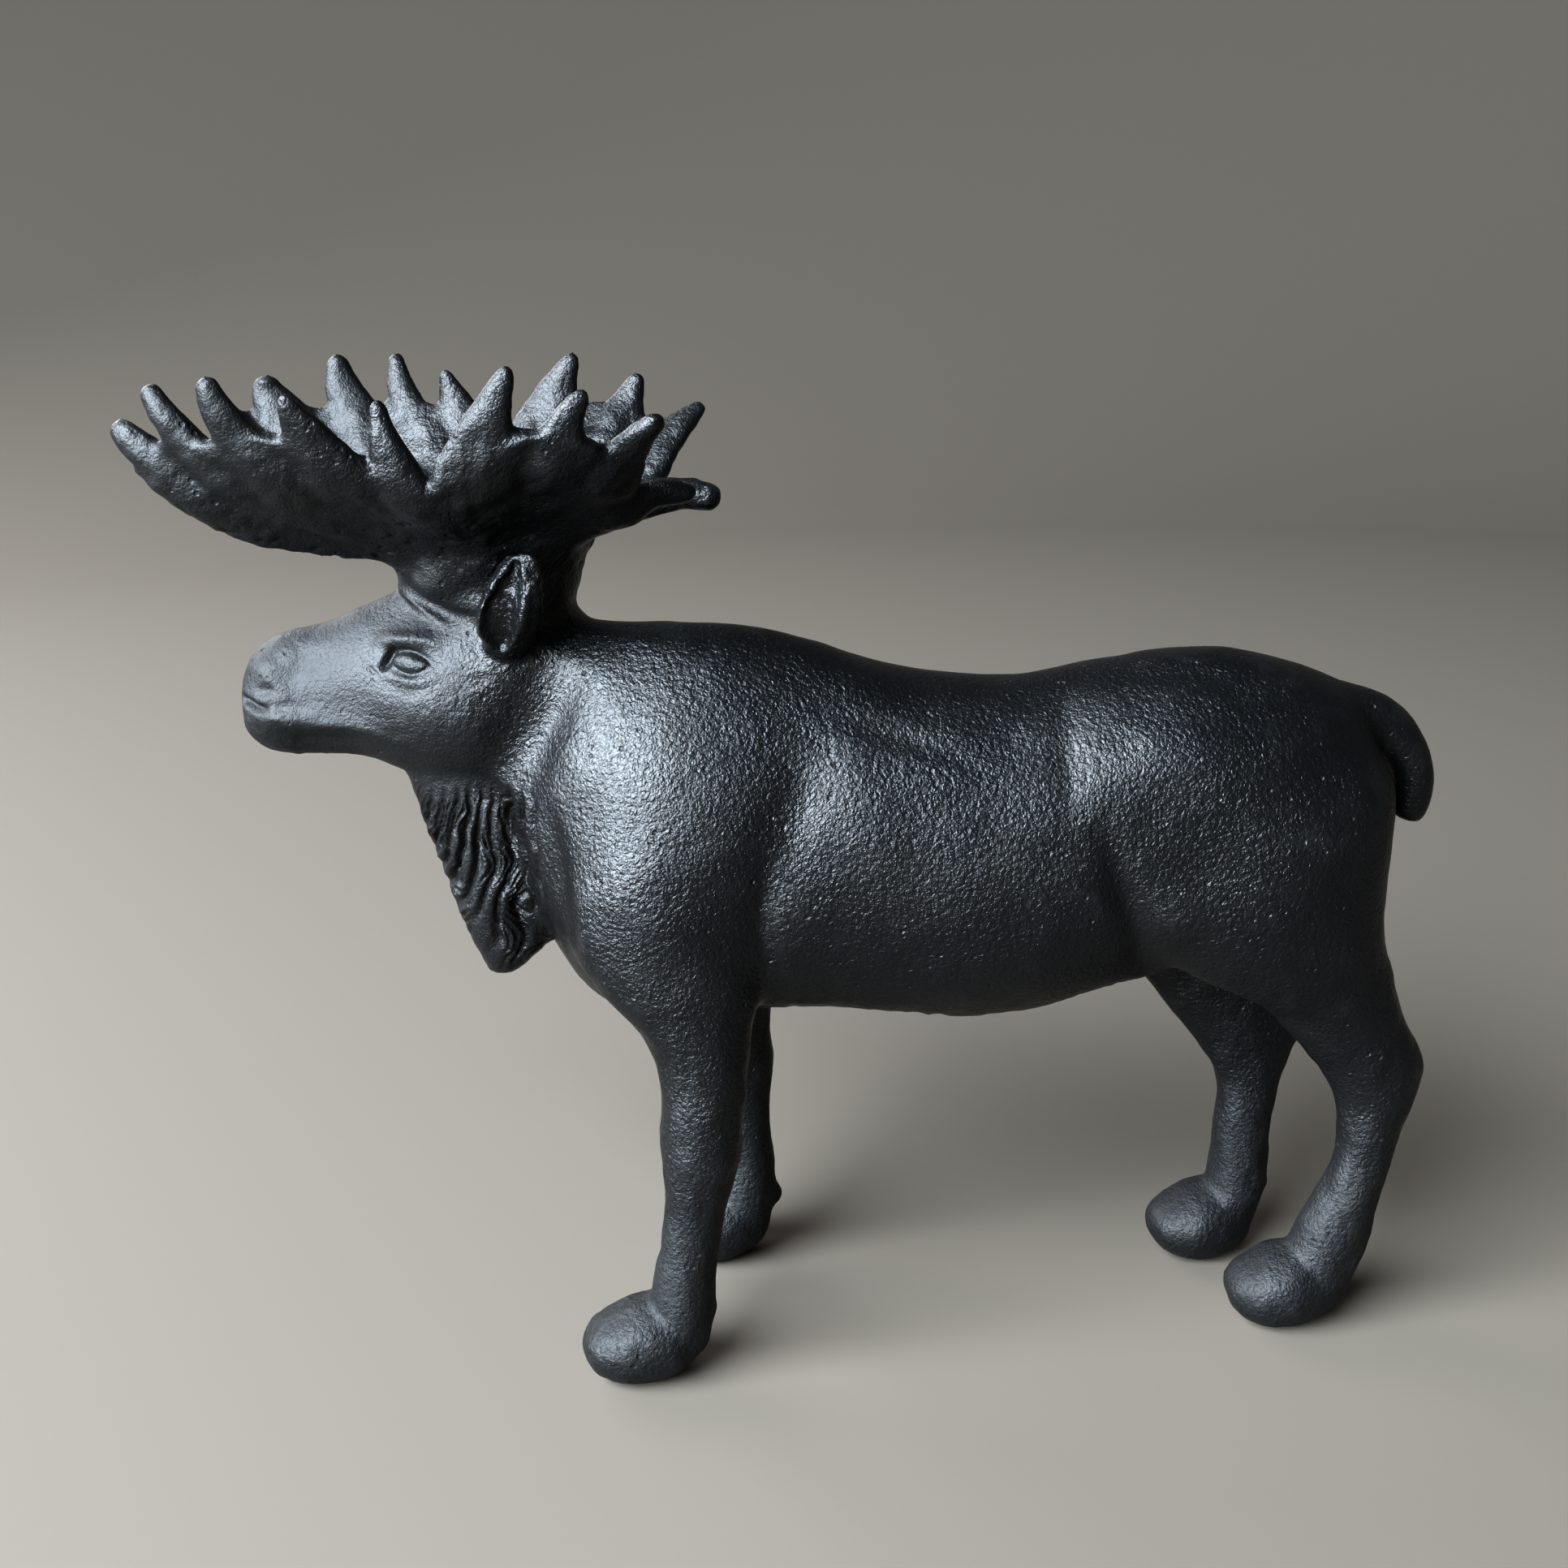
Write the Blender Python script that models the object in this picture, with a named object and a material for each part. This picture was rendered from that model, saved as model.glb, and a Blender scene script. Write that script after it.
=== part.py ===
# Moose figurine: one solid casting, painted black, standing on four flat soles.
# Metres, +Z up. The head points along -X and the tail along +X. The origin is on the
# ground under the middle of the figure's box.
import math

import bmesh
import bpy
import numpy as np

# Driving sizes.
HEIGHT = 0.2025  # soles to the highest tine tip
HOOF_LENGTH = 0.0252
HOOF_WIDTH = 0.0195
HOOF_HEIGHT = 0.0175
HOOF_SLOPE = 0.42  # share by which the hoof's top falls towards the toe
DEWCLAW_RADIUS = 0.0030
TAIL_WIDTH = 0.0100
EAR_LENGTH = 0.0235
EAR_WIDTH = 0.0135
EAR_THICKNESS = 0.0060
EAR_HOLLOW = 0.0036  # depth of the ear's hollow
PALM_THICKNESS = 0.0048  # the antler's plate, midway out
TINE_TIP_RADIUS = 0.0018  # of the front tines; the others are a share of it
LOCK_DEPTH = 0.0013  # grooves between the locks of the dewlap
EYE_LENGTH = 0.0072  # from corner to corner of the lids

# The pose and proportions are shares of the height: one unit is a millimetre at this height.
UNIT = HEIGHT / 202.5
GROUND = 0.8  # units: the height in the tables where the round hooves are cut off flat
HEAD_TURN = math.radians(-5.5)  # the head looks a little to its right
HEAD_TILT = math.radians(1.0)  # and leans a little to that side
HEAD_ORIGIN = np.array([-46.0, 6.0, 160.0])  # units: where the head's own frame stands
HEAD_LEVEL = np.array([0, 0, HEAD_ORIGIN[2]])  # the head's frame keeps the body's heights

VOXEL = 1.0  # units: the pitch of the skin that fuses the shapes
TRIANGLES = 9700

# Trunk and neck, cut across X: x, top, bottom, half width, middle y, narrowing of the top.
TRUNK = [
    (-68, 158, 124, 12.0, 8.5, 0.10),
    (-60, 158, 103.5, 15.0, 7.4, 0.12),
    (-55.5, 156, 87.2, 18.0, 6.0, 0.15),
    (-49, 153.6, 77.0, 22.0, 4.2, 0.20),
    (-41, 152.0, 72.6, 25.0, 2.4, 0.22),
    (-30, 151.6, 72.5, 26.0, 0.8, 0.22),
    (-16, 150.6, 72.6, 26.0, 0.0, 0.20),
    (-2, 147.4, 72.4, 25.5, 0.0, 0.18),
    (12, 142.6, 70.8, 26.5, 0.0, 0.15),
    (26, 139.6, 69.2, 28.0, 0.0, 0.12),
    (40, 138.6, 70.3, 28.0, 0.0, 0.12),
    (54, 141.0, 74.0, 26.5, 0.0, 0.14),
    (68, 142.7, 77.5, 25.0, 0.0, 0.16),
    (82, 142.4, 84.0, 24.0, 0.0, 0.16),
    (94, 139.0, 90.0, 21.0, 0.0, 0.14),
    (104, 133.6, 96.0, 15.5, 0.0, 0.10),
    (109.5, 127.0, 101.0, 9.0, 0.0, 0.0),
]

# Legs, cut level: z, front x, rear x, middle y, half width.
FRONT_NEAR_LEG = [
    (128, -38, -18, -8.0, 10.0),
    (116, -47, -13, -12.0, 12.6),
    (104, -52, -10.5, -14.0, 13.7),
    (93, -51, -11.5, -15.8, 12.5),
    (84, -45.5, -13.0, -18.0, 11.0),
    (75, -37.6, -15.6, -20.0, 9.0),
    (66, -34.6, -17.0, -21.4, 8.0),
    (56, -34.8, -18.2, -22.0, 7.6),
    (48, -35.0, -19.2, -22.3, 7.3),
    (40, -34.7, -21.6, -22.5, 6.3),
    (32, -35.7, -23.4, -22.5, 6.0),
    (24, -37.6, -24.8, -22.5, 6.3),
    (16, -38.8, -25.4, -22.5, 6.8),
    (7, -39.0, -27.0, -22.5, 6.4),
]
FRONT_FAR_LEG = [
    (128, -34, -14, 8.0, 10.0),
    (116, -43, -10, 12.0, 12.6),
    (104, -47, -7.0, 14.0, 13.7),
    (93, -45, -7.5, 15.8, 12.5),
    (84, -39, -8.5, 18.0, 11.0),
    (75, -31.5, -9.8, 20.0, 9.0),
    (66, -28.0, -10.8, 21.4, 8.0),
    (56, -26.6, -11.4, 22.0, 7.6),
    (48, -26.0, -10.8, 22.3, 7.3),
    (40, -24.8, -11.8, 22.5, 6.3),
    (32, -24.4, -12.0, 22.5, 6.0),
    (24, -24.6, -11.9, 22.5, 6.3),
    (16, -25.0, -11.8, 22.5, 6.8),
    (7, -25.6, -13.4, 22.5, 6.4),
]
HIND_NEAR_LEG = [
    (130, 72, 104, -5.0, 8.0),
    (118, 62, 111.0, -9.5, 12.8),
    (106, 57, 110.3, -12.2, 14.0),
    (95, 57.5, 109.2, -13.8, 13.4),
    (86, 63, 109.6, -14.5, 12.0),
    (79.4, 72.5, 111.2, -14.5, 10.4),
    (73.5, 84.0, 112.8, -14.2, 9.2),
    (66, 91.0, 116.0, -14.0, 7.8),
    (59, 96.8, 119.3, -13.9, 7.0),
    (52, 101.0, 118.6, -13.8, 6.4),
    (44.1, 102.5, 115.7, -13.8, 6.0),
    (37, 102.0, 113.6, -13.8, 5.9),
    (30, 98.9, 112.0, -13.8, 6.2),
    (22.5, 95.0, 110.7, -13.8, 6.8),
    (15, 93.0, 108.6, -13.8, 7.2),
    (6, 92.0, 105.0, -13.8, 6.6),
]
HIND_FAR_LEG = [
    (130, 70, 103, 5.0, 8.0),
    (118, 60, 110.5, 9.5, 12.8),
    (106, 54.5, 109.0, 12.2, 14.0),
    (95, 54, 108.4, 13.8, 13.4),
    (86, 57, 107.6, 14.5, 12.0),
    (77, 62.0, 107.0, 14.5, 10.2),
    (67, 68.6, 106.4, 14.2, 8.6),
    (58.4, 74.8, 105.0, 14.0, 7.4),
    (51.5, 80.0, 102.0, 13.9, 6.6),
    (44.9, 83.9, 99.4, 13.8, 6.1),
    (38, 84.7, 97.6, 13.8, 5.9),
    (30, 84.2, 96.8, 13.8, 6.0),
    (22, 83.6, 96.5, 13.8, 6.5),
    (14, 82.5, 95.4, 13.8, 6.9),
    (6, 81.0, 92.8, 13.8, 6.4),
]
# Hooves: middle x, middle y, share of HOOF_LENGTH. Dewclaws: middle x, y, z.
HOOVES = [(-40.3, -22.5, 1.0), (-25.5, 22.5, 0.93), (93.0, -13.8, 0.97), (81.9, 13.8, 0.93)]
DEWCLAWS = [(-27.6, -22.5, 15.4), (-13.0, 22.5, 15.4), (107.0, -13.8, 18.0), (94.0, 13.8, 18.0)]

# Tail, along its path: x, z, half thickness. Its width is TAIL_WIDTH at the middle.
TAIL = [(102, 129, 6.0), (110.6, 126.4, 5.4), (115.8, 121, 4.8), (118.6, 114, 4.2), (118.8, 109, 3.7),
        (117.6, 105.6, 2.4)]

# Head frame: x along the head, y to its left and right, z up. Head: x, top, bottom, half width.
HEAD = [
    (-67.6, 143.2, 130.6, 5.6),
    (-65.0, 147.2, 127.9, 8.2),
    (-59.5, 150.4, 125.9, 10.0),
    (-51, 152.3, 125.7, 10.2),
    (-43, 155.3, 124.9, 11.4),
    (-35, 158.4, 121.8, 13.6),
    (-26, 161.0, 119.4, 15.4),
    (-15, 162.0, 119.0, 16.2),
    (-4, 157.0, 119.0, 15.2),
    (6, 147.0, 118.0, 12.0),
]
# Dewlap, cut level: z, front x, rear x, half width.
DEWLAP = [
    (128, -39, -6, 10.5),
    (121, -36.4, -7, 10.2),
    (114, -35.1, -7.5, 9.8),
    (107, -33.1, -8, 9.4),
    (100, -31.0, -7, 8.8),
    (94, -29.4, -7.5, 8.2),
    (87, -27.0, -9.0, 6.8),
    (81.8, -24.6, -13.0, 5.0),
    (78.0, -22.8, -18.6, 2.4),
]
# Crown under the antlers, cut level: z, front x, rear x, half width.
CROWN = [
    (148, -22, -3, 11.0),
    (154, -27.0, -1.2, 13.4),
    (157.5, -32.0, 0.0, 13.9),
    (161, -35.6, 1.0, 14.2),
    (165.5, -37.0, 3.0, 15.6),
    (169, -35.6, 4.0, 17.6),
    (171.5, -31.0, 3.0, 15.0),
]
# Antlers. Each hangs from the root line; x, distance from the middle, z.
PLATE_ROOT = [(-30, 7.0, 163.0), (-15, 6.0, 168.5), (0, 6.0, 167.0)]
PLATE_SAG = (5.4, 1.0)  # how far the plate bellies down between root and rim, front and rear
# The antler of the photographed side (y negative) and the far one, as they were cast: the notches
# between the tines from front to rear, then the tips, one between each two notches.
NEAR_NOTCHES = [
    (-74.5, 26.5, 185.8), (-66.6, 31.0, 191.4), (-58.4, 34.5, 191.2), (-46.4, 36.5, 192.6),
    (-31.1, 34.5, 187.4), (-20.0, 33.0, 182.0), (-2.7, 33.5, 191.2), (9.3, 30.5, 189.0),
    (15.0, 18.0, 181.0), (11.5, 6.5, 172.8),
]
NEAR_TIPS = [
    (-77.0, 26.5, 193.8), (-68.5, 31.0, 200.9), (-56.0, 37.5, 202.4), (-41.7, 40.5, 199.4),
    (-27.2, 34.0, 197.7), (-3.5, 34.5, 202.8), (9.2, 33.0, 198.4), (21.4, 29.5, 192.9),
    (24.6, 8.0, 177.2),
]
FAR_NOTCHES = [
    (-73.5, 26.5, 185.8), (-75.0, 32.0, 190.4), (-59.7, 35.5, 190.6), (-46.0, 37.5, 191.0),
    (-35.0, 35.0, 190.6), (-21.0, 33.0, 183.0), (-0.5, 33.5, 190.2), (12.0, 30.5, 186.6),
    (15.2, 18.0, 177.6), (11.8, 6.5, 171.6),
]
FAR_TIPS = [
    (-76.8, 27.5, 193.4), (-68.4, 33.0, 197.7), (-54.4, 37.5, 201.6), (-42.7, 40.5, 201.2),
    (-31.3, 34.0, 198.1), (-3.8, 34.5, 200.7), (9.8, 33.0, 196.2), (22.9, 29.5, 190.1),
    (27.3, 8.0, 173.6),
]
NEAR_SHARES = [1.15, 1.1, 1.1, 0.8, 0.75, 0.85, 0.8, 1.0, 1.75]  # of TINE_TIP_RADIUS, front to rear
FAR_SHARES = [1.15, 1.1, 1.1, 0.8, 0.75, 0.85, 0.8, 1.0, 1.3]
TIP_EASE = 0.7  # added to each tine, and lost again where its tip is eased

# Ears, for the side with y positive: the leaf's foot, its middle and tip as shares of its length
# from the foot, and its width's direction.
EAR_FOOT = np.array([-11.6, 13.4, 147.8])
EAR_CURVE = [(0, 0, 0), (0.077, 0.264, 0.434), (0.230, 0.306, 0.919)]
EAR_ACROSS = np.array([1.0, 0.16, 0.14])
EAR_OPENING = (-0.12, 0.60)  # the hollow's middle and half width, as shares of the leaf's half width
EAR_EDGE = 1.0  # units: how far the edge behind the hollow stands up

# Locks of the dewlap. Their grooves leave the rear edge's x steeply and swing forward going down,
# the faster the further ahead of it they are: the rate for each unit, and how far apart they are.
LOCKS_REAR = -7.0
LOCK_SWING = 0.036
LOCK_SPACING = 9.5  # units, at the height of the dewlap's tip

# Carving in the side view, on both flanks: lines of x, z with a width and a depth.
FLANK_LINES = [
    ([(0, 136), (-6, 122), (-11, 110), (-13, 98), (-12, 84)], 5.5, 1.3),  # behind the shoulder
    ([(-11, 114), (-13.2, 100), (-12.6, 88), (-11.5, 78)], 2.2, 0.8),  # behind the elbow
    ([(-44, 146), (-54, 131), (-58, 114)], 3.4, 1.1),  # before the shoulder
    ([(50, 118), (55, 102), (60, 88), (62, 80)], 3.6, 1.6),  # flank fold before the thigh
    ([(74, 136), (84, 135), (94, 130)], 2.2, 0.5),  # edge of the rump
]
FLANK_BULGES = [
    ((-32, 122), (17, 26), 2.4),  # shoulder
    ((7, 118), (10, 20), 1.0),  # ribs
    ((58, 126), (14, 9), 1.3),  # hip
    ((80, 108), (17, 17), 1.6),  # thigh
    ((66, 96), (8, 7), 1.2),  # stifle
]
# The same in the head's frame. A depth below zero raises the line. The eye bulges round its middle.
EYE_MIDDLE = (-31.4, 146.4)
EYE_DOME = 1.5  # units: how far the eyeball stands out
FACE_LINES = [
    ([(-40, 149.6), (-35, 151.6), (-29, 151.0), (-24, 147.6)], 1.3, -1.3),  # brow
    ([(-41, 153.0), (-35, 155.2), (-28, 154.6), (-23, 151.6)], 1.6, 0.7),  # hollow above the brow
    ([(-37.5, 145.4), (-35.2, 148.6), (-31, 149.2), (-26.6, 147.4)], 1.0, 0.8),  # over the eye
    ([(-36.2, 144.8), (-32, 143.6), (-27, 144.6)], 0.9, -0.9),  # lower lid
    ([(-39, 144.6), (-35, 142.2), (-30, 141.6), (-25, 143.2)], 1.1, 0.8),  # below the lower lid
    ([(-70, 139.4), (-66.3, 138.2), (-62.5, 136.9), (-58.5, 136.3)], 1.1, 1.3),  # mouth
    ([(-60, 136.4), (-55, 135.4), (-50, 135.0)], 1.2, 0.4),
    ([(-58, 149), (-55.6, 143), (-51, 138.6)], 3.0, 0.5),  # behind the nose
]
FACE_BULGES = [
    ((-31.8, 147.0), (7.0, 4.0), -1.0),  # socket
    ((-36.2, 146.9), (1.2, 1.0), -1.0),  # inner corner
    ((-61.6, 140.2), (2.0, 1.1), -1.1),  # nostril
    ((-62.0, 145.0), (4.0, 3.4), 0.6),  # nose
    ((-27.0, 136.0), (9.0, 7.0), 0.9),  # cheek
]


def through(rows, count):
    """Evenly numbered points on a Catmull-Rom curve through the rows."""
    rows = np.array(rows, float)
    ends = np.vstack([2 * rows[0] - rows[1], rows, 2 * rows[-1] - rows[-2]])
    at = np.linspace(0, len(rows) - 1, count)
    first = np.minimum(at.astype(int), len(rows) - 2)
    f = (at - first)[:, None]
    a, b, c, d = (ends[first + i] for i in range(4))
    return 0.5 * (2 * b + (c - a) * f + (2 * a - 5 * b + 4 * c - d) * f**2 + (3 * b - a - 3 * c + d) * f**3)


def skin(rings):
    """A closed mesh over rings of points, with a point fan over each end."""
    count, around = rings.shape[:2]
    points = np.vstack([rings.reshape(-1, 3), rings[0].mean(axis=0), rings[-1].mean(axis=0)])
    i, j = np.meshgrid(np.arange(count - 1), np.arange(around), indexing="ij")
    a, b = i * around + j, i * around + (j + 1) % around
    faces = np.stack([a, b, b + around, a + around], axis=-1).reshape(-1, 4).tolist()
    turn = np.arange(around)
    after = (turn + 1) % around
    low, high = count * around, count * around + 1
    last = (count - 1) * around
    faces += np.stack([np.full(around, low), after, turn], axis=-1).tolist()
    faces += np.stack([np.full(around, high), last + turn, last + after], axis=-1).tolist()
    return points, faces


def across(rows, around=40, count=70):
    """Rings cut across X: x, top, bottom, half width, middle y, narrowing of the top."""
    rows = through(rows, count)
    x, top, bottom, half, middle, narrow = rows.T[:, :, None]
    turn = np.linspace(0, 2 * math.pi, around, endpoint=False)
    rise, side = np.cos(turn), np.sin(turn)
    y = middle + half * side * (1 - narrow * rise)
    z = (top + bottom) / 2 + (top - bottom) / 2 * rise
    return skin(np.stack([x + 0 * z, y, z], axis=-1))


def level(rows, around=32, count=60):
    """Rings cut level: z, front x, rear x, middle y, half width."""
    rows = through(rows, count)
    z, front, rear, middle, half = rows.T[:, :, None]
    turn = np.linspace(0, 2 * math.pi, around, endpoint=False)
    x = (front + rear) / 2 + (rear - front) / 2 * np.cos(turn)
    return skin(np.stack([x, middle + half * np.sin(turn), z + 0 * x], axis=-1))


def tube(path, wide, thick, across_way, around=20):
    """Rings along a path: half width across_way, half thickness at right angles to it."""
    way = np.gradient(path, axis=0)
    way /= np.linalg.norm(way, axis=1)[:, None]
    side = across_way - way * np.sum(way * across_way, axis=1)[:, None]
    side /= np.linalg.norm(side, axis=1)[:, None]
    other = np.cross(way, side)
    turn = np.linspace(0, 2 * math.pi, around, endpoint=False)
    rings = (
        path[:, None]
        + side[:, None] * (np.cos(turn) * wide[:, None])[:, :, None]
        + other[:, None] * (np.sin(turn) * thick[:, None])[:, :, None]
    )
    return skin(rings)


def egg(middle, sizes, around=24, count=14, slope=0.0):
    """An ellipsoid, fuller towards -X, where its top falls by the slope."""
    rise = np.linspace(0.04, math.pi - 0.04, count)[:, None]
    turn = np.linspace(0, 2 * math.pi, around, endpoint=False)[None]
    x = np.cos(rise) + 0 * turn
    reach = np.sin(rise) ** 0.92 * (1 - 0.10 * x)
    z = reach * np.sin(turn)
    z *= 1 - slope * ramp(-x, -0.3, 1.0) * (z > 0)
    rings = np.stack([x, reach * np.cos(turn), z], axis=-1)
    return skin(rings * sizes + middle)


def sag(u, v):
    """How far the plate bellies out and down, u along the antler and v from root to rim."""
    front, rear = PLATE_SAG
    return (front + (rear - front) * u) * np.sin(math.pi * v**1.6) * np.array([0, 0.3, -0.95])


def plate(notches, side):
    """The antler's palm: a curved plate between the crown and the rim, thinner at the rim."""
    u = np.linspace(0, 1, 50)[:, None, None]
    v = np.linspace(0, 1, 24)[None, :, None]
    root = through(PLATE_ROOT, 50)[:, None]
    rim = through(notches, 50)[:, None]
    middle = root + (rim - root) * v + sag(u, v)
    along = np.gradient(middle, axis=0)
    outward = np.gradient(middle, axis=1)
    face = np.cross(along, outward)
    face /= np.linalg.norm(face, axis=2)[:, :, None]
    edge = np.sin(math.pi * (0.09 + 0.84 * u)) ** 0.4
    half = PALM_THICKNESS / UNIT / 2 * edge * (1.35 - 0.6 * v)
    shell = np.concatenate([middle + face * half, (middle - face * half)[:, ::-1]], axis=1)
    return mirrored(skin(shell), side)


def tine(number, notches, tips, shares, side):
    """One tine: a flattened flame from inside the plate to a round tip, as wide as its two notches."""
    first, second = np.array(notches[number]), np.array(notches[number + 1])
    tip = np.array(tips[number])
    base = (first + second) / 2
    tip += TIP_EASE * (tip - base) / np.linalg.norm(tip - base)
    u = (number + 0.5) / len(tips)
    root = through(PLATE_ROOT, 101)[int(100 * u)]
    foot = root + (base - root) * 0.55 + sag(u, 0.55)
    low = root + (base - root) * 0.85 + sag(u, 0.85)
    path = through([foot, low, base + (tip - base) * 0.35, tip], 22)
    s = np.linspace(0, 1, len(path))
    tip_radius = TINE_TIP_RADIUS / UNIT * shares[number]
    half = np.linalg.norm(second - first) / 2 * 1.04
    round_end = np.sqrt(np.clip(1 - ((s - 0.93).clip(0) / 0.072) ** 2, 0.01, 1))
    fall = ramp(s, 0.10, 1.02)
    spread = 0.55 + 0.45 * ramp(s, 0, 0.3)
    taper = 0.35 * fall + 0.65 * ((s - 0.2).clip(0) / 0.8)
    wide = (half * spread + (tip_radius - half) * taper) * round_end
    root_half = PALM_THICKNESS / UNIT * 0.66
    body = root_half * (0.7 + 0.3 * ramp(s, 0, 0.35))
    thick = (body + (tip_radius * 0.95 - root_half) * ramp(s, 0.25, 1.0)) * round_end
    return mirrored(tube(path, wide, thick, second - first), side)


def ear(side):
    """A cupped leaf standing off the side of the head: its outer face is hollow before a raised edge."""
    path = EAR_FOOT + through(EAR_CURVE, 30) * EAR_LENGTH / UNIT
    s = np.linspace(0, 1, len(path))[:, None]
    turn = np.linspace(0, 2 * math.pi, 48, endpoint=False)
    wide = EAR_WIDTH / UNIT / 2 * np.sin(math.pi * (0.10 + 0.87 * s)) ** 0.62 * np.cos(turn)
    thick = EAR_THICKNESS / UNIT / 2 * np.sin(math.pi * (0.25 + 0.70 * s)) ** 0.6
    middle, half = EAR_OPENING
    gape = np.sqrt(np.clip(1 - ((s - 0.53) / 0.41) ** 2, 0, 1))
    q = (np.cos(turn) - middle) / (half * gape + 0.02)
    relief = -EAR_HOLLOW / UNIT * np.clip(1 - q**2, 0, 1) ** 0.7 * gape**0.5
    relief += EAR_EDGE * np.exp(-(((q - 1.08) / 0.2) ** 2)) * gape
    deep = thick * np.sin(turn) + relief * (np.sin(turn) > 0)
    across_ear = EAR_ACROSS / np.linalg.norm(EAR_ACROSS)
    up_ear = path[-1] - path[0]
    out = np.cross(up_ear / np.linalg.norm(up_ear), across_ear)
    out *= np.sign(out[1]) / np.linalg.norm(out)
    rings = path[:, None] + wide[:, :, None] * across_ear + deep[:, :, None] * out
    return mirrored(skin(rings), side)


def mirrored(mesh, side):
    """The mesh as it is for side 1, or turned to the other side of the head for side -1."""
    points, faces = mesh
    if side > 0:
        return points, faces
    return points * np.array([1, -1, 1]), [face[::-1] for face in faces]


def head_axes():
    """The head frame's x, y and z directions, as rows."""
    c, s = math.cos(HEAD_TURN), math.sin(HEAD_TURN)
    x = np.array([c, s, 0])
    y = np.array([-s, c, 0]) * math.cos(HEAD_TILT) - np.array([0, 0, math.sin(HEAD_TILT)])
    return np.stack([x, y, np.cross(x, y)])


def in_body(mesh):
    """A mesh of the head's frame, turned and set on the neck."""
    points, faces = mesh
    return (points - HEAD_LEVEL) @ head_axes() + HEAD_ORIGIN, faces


def in_head(points):
    return (points - HEAD_ORIGIN) @ head_axes().T + HEAD_LEVEL


def shapes():
    """Every closed shape that the casting is fused from, in units."""
    yield across(TRUNK)
    for leg in (FRONT_NEAR_LEG, FRONT_FAR_LEG, HIND_NEAR_LEG, HIND_FAR_LEG):
        yield level(leg)
    rise = (HOOF_HEIGHT / UNIT + GROUND) / 2
    for x, y, share in HOOVES:
        sizes = (share * HOOF_LENGTH / UNIT / 2, HOOF_WIDTH / UNIT / 2, rise)
        yield egg((x, y, rise), sizes, slope=HOOF_SLOPE)
    for spot in DEWCLAWS:
        yield egg(spot, [DEWCLAW_RADIUS / UNIT] * 3, around=12, count=8)
    x, z, thick = through(TAIL, 20).T
    wide = TAIL_WIDTH / UNIT / 2 * np.linspace(1.3, 0.7, len(x))
    yield tube(np.stack([x, 0 * x, z], axis=-1), wide, thick, np.array([0, 1.0, 0]))
    yield in_body(across([row + (0, 0.12) for row in HEAD]))
    yield in_body(level([row[:3] + (0, row[3]) for row in DEWLAP]))
    yield in_body(level([row[:3] + (0, row[3]) for row in CROWN]))
    antlers = ((-1, NEAR_NOTCHES, NEAR_TIPS, NEAR_SHARES), (1, FAR_NOTCHES, FAR_TIPS, FAR_SHARES))
    for side, notches, tips, shares in antlers:
        yield in_body(ear(side))
        yield in_body(plate(notches, side))
        for number in range(len(tips)):
            yield in_body(tine(number, notches, tips, shares, side))


def fused():
    """One skin over all the shapes, as points in units and faces of four corners."""
    points, faces, count = [], [], 0
    for more, theirs in shapes():
        points.append(more)
        faces += [[count + corner for corner in face] for face in theirs]
        count += len(more)
    mesh = bpy.data.meshes.new("shapes")
    mesh.from_pydata(np.vstack(points).tolist(), [], faces)
    mesh.validate()
    shape = bpy.data.objects.new("shapes", mesh)
    bpy.context.collection.objects.link(shape)
    remesh = shape.modifiers.new("Fuse", "REMESH")
    remesh.mode = "VOXEL"
    remesh.voxel_size = VOXEL
    remesh.adaptivity = 0
    skin_mesh = bpy.data.meshes.new_from_object(shape.evaluated_get(bpy.context.evaluated_depsgraph_get()))
    bpy.data.objects.remove(shape)
    return skin_mesh


def coordinates(mesh):
    points = np.empty(len(mesh.vertices) * 3)
    mesh.vertices.foreach_get("co", points)
    return points.reshape(-1, 3)


def set_coordinates(mesh, points):
    mesh.vertices.foreach_set("co", points.ravel())
    mesh.update()


def normals_of(mesh):
    found = np.empty(len(mesh.vertices) * 3)
    mesh.vertices.foreach_get("normal", found)
    return found.reshape(-1, 3)


def smoothed(points, mesh, weight, rounds):
    """Each round moves a point by its weight towards the mean of its neighbours."""
    ends = np.empty(len(mesh.edges) * 2, np.int32)
    mesh.edges.foreach_get("vertices", ends)
    a, b = ends.reshape(-1, 2).T
    share = np.bincount(a, minlength=len(points)) + np.bincount(b, minlength=len(points))
    for _ in range(rounds):
        total = np.stack([
            np.bincount(a, points[b, k], len(points)) + np.bincount(b, points[a, k], len(points))
            for k in range(3)
        ], axis=-1)
        points = points + weight[:, None] * (total / share[:, None] - points)
    return points


def ramp(value, low, high):
    t = np.clip((value - low) / (high - low), 0, 1)
    return t * t * (3 - 2 * t)


def along_line(points, line):
    """Distance from each point to the nearest place on a line, and that place as a share of the line."""
    best = np.full(len(points), np.inf)
    share = np.zeros(len(points))
    for number, (a, b) in enumerate(zip(line[:-1], line[1:])):
        part = np.clip((points - a) @ (b - a) / ((b - a) @ (b - a)), 0, 1)
        apart = np.linalg.norm(points - a - part[:, None] * (b - a), axis=1)
        share = np.where(apart < best, (number + part) / (len(line) - 1), share)
        best = np.minimum(best, apart)
    return best, share


def groove(places, line, width, depth):
    """Depth pressed in along a smooth line through the given places, fading towards its ends."""
    apart, share = along_line(places, through(line, 24))
    return -depth * np.exp(-((apart / width) ** 2)) * (4 * share * (1 - share)) ** 0.5


def bulge(places, middle, reach, height):
    apart = (places - np.array(middle)) / np.array(reach)
    return height * np.exp(-np.sum(apart**2, axis=1))


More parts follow.
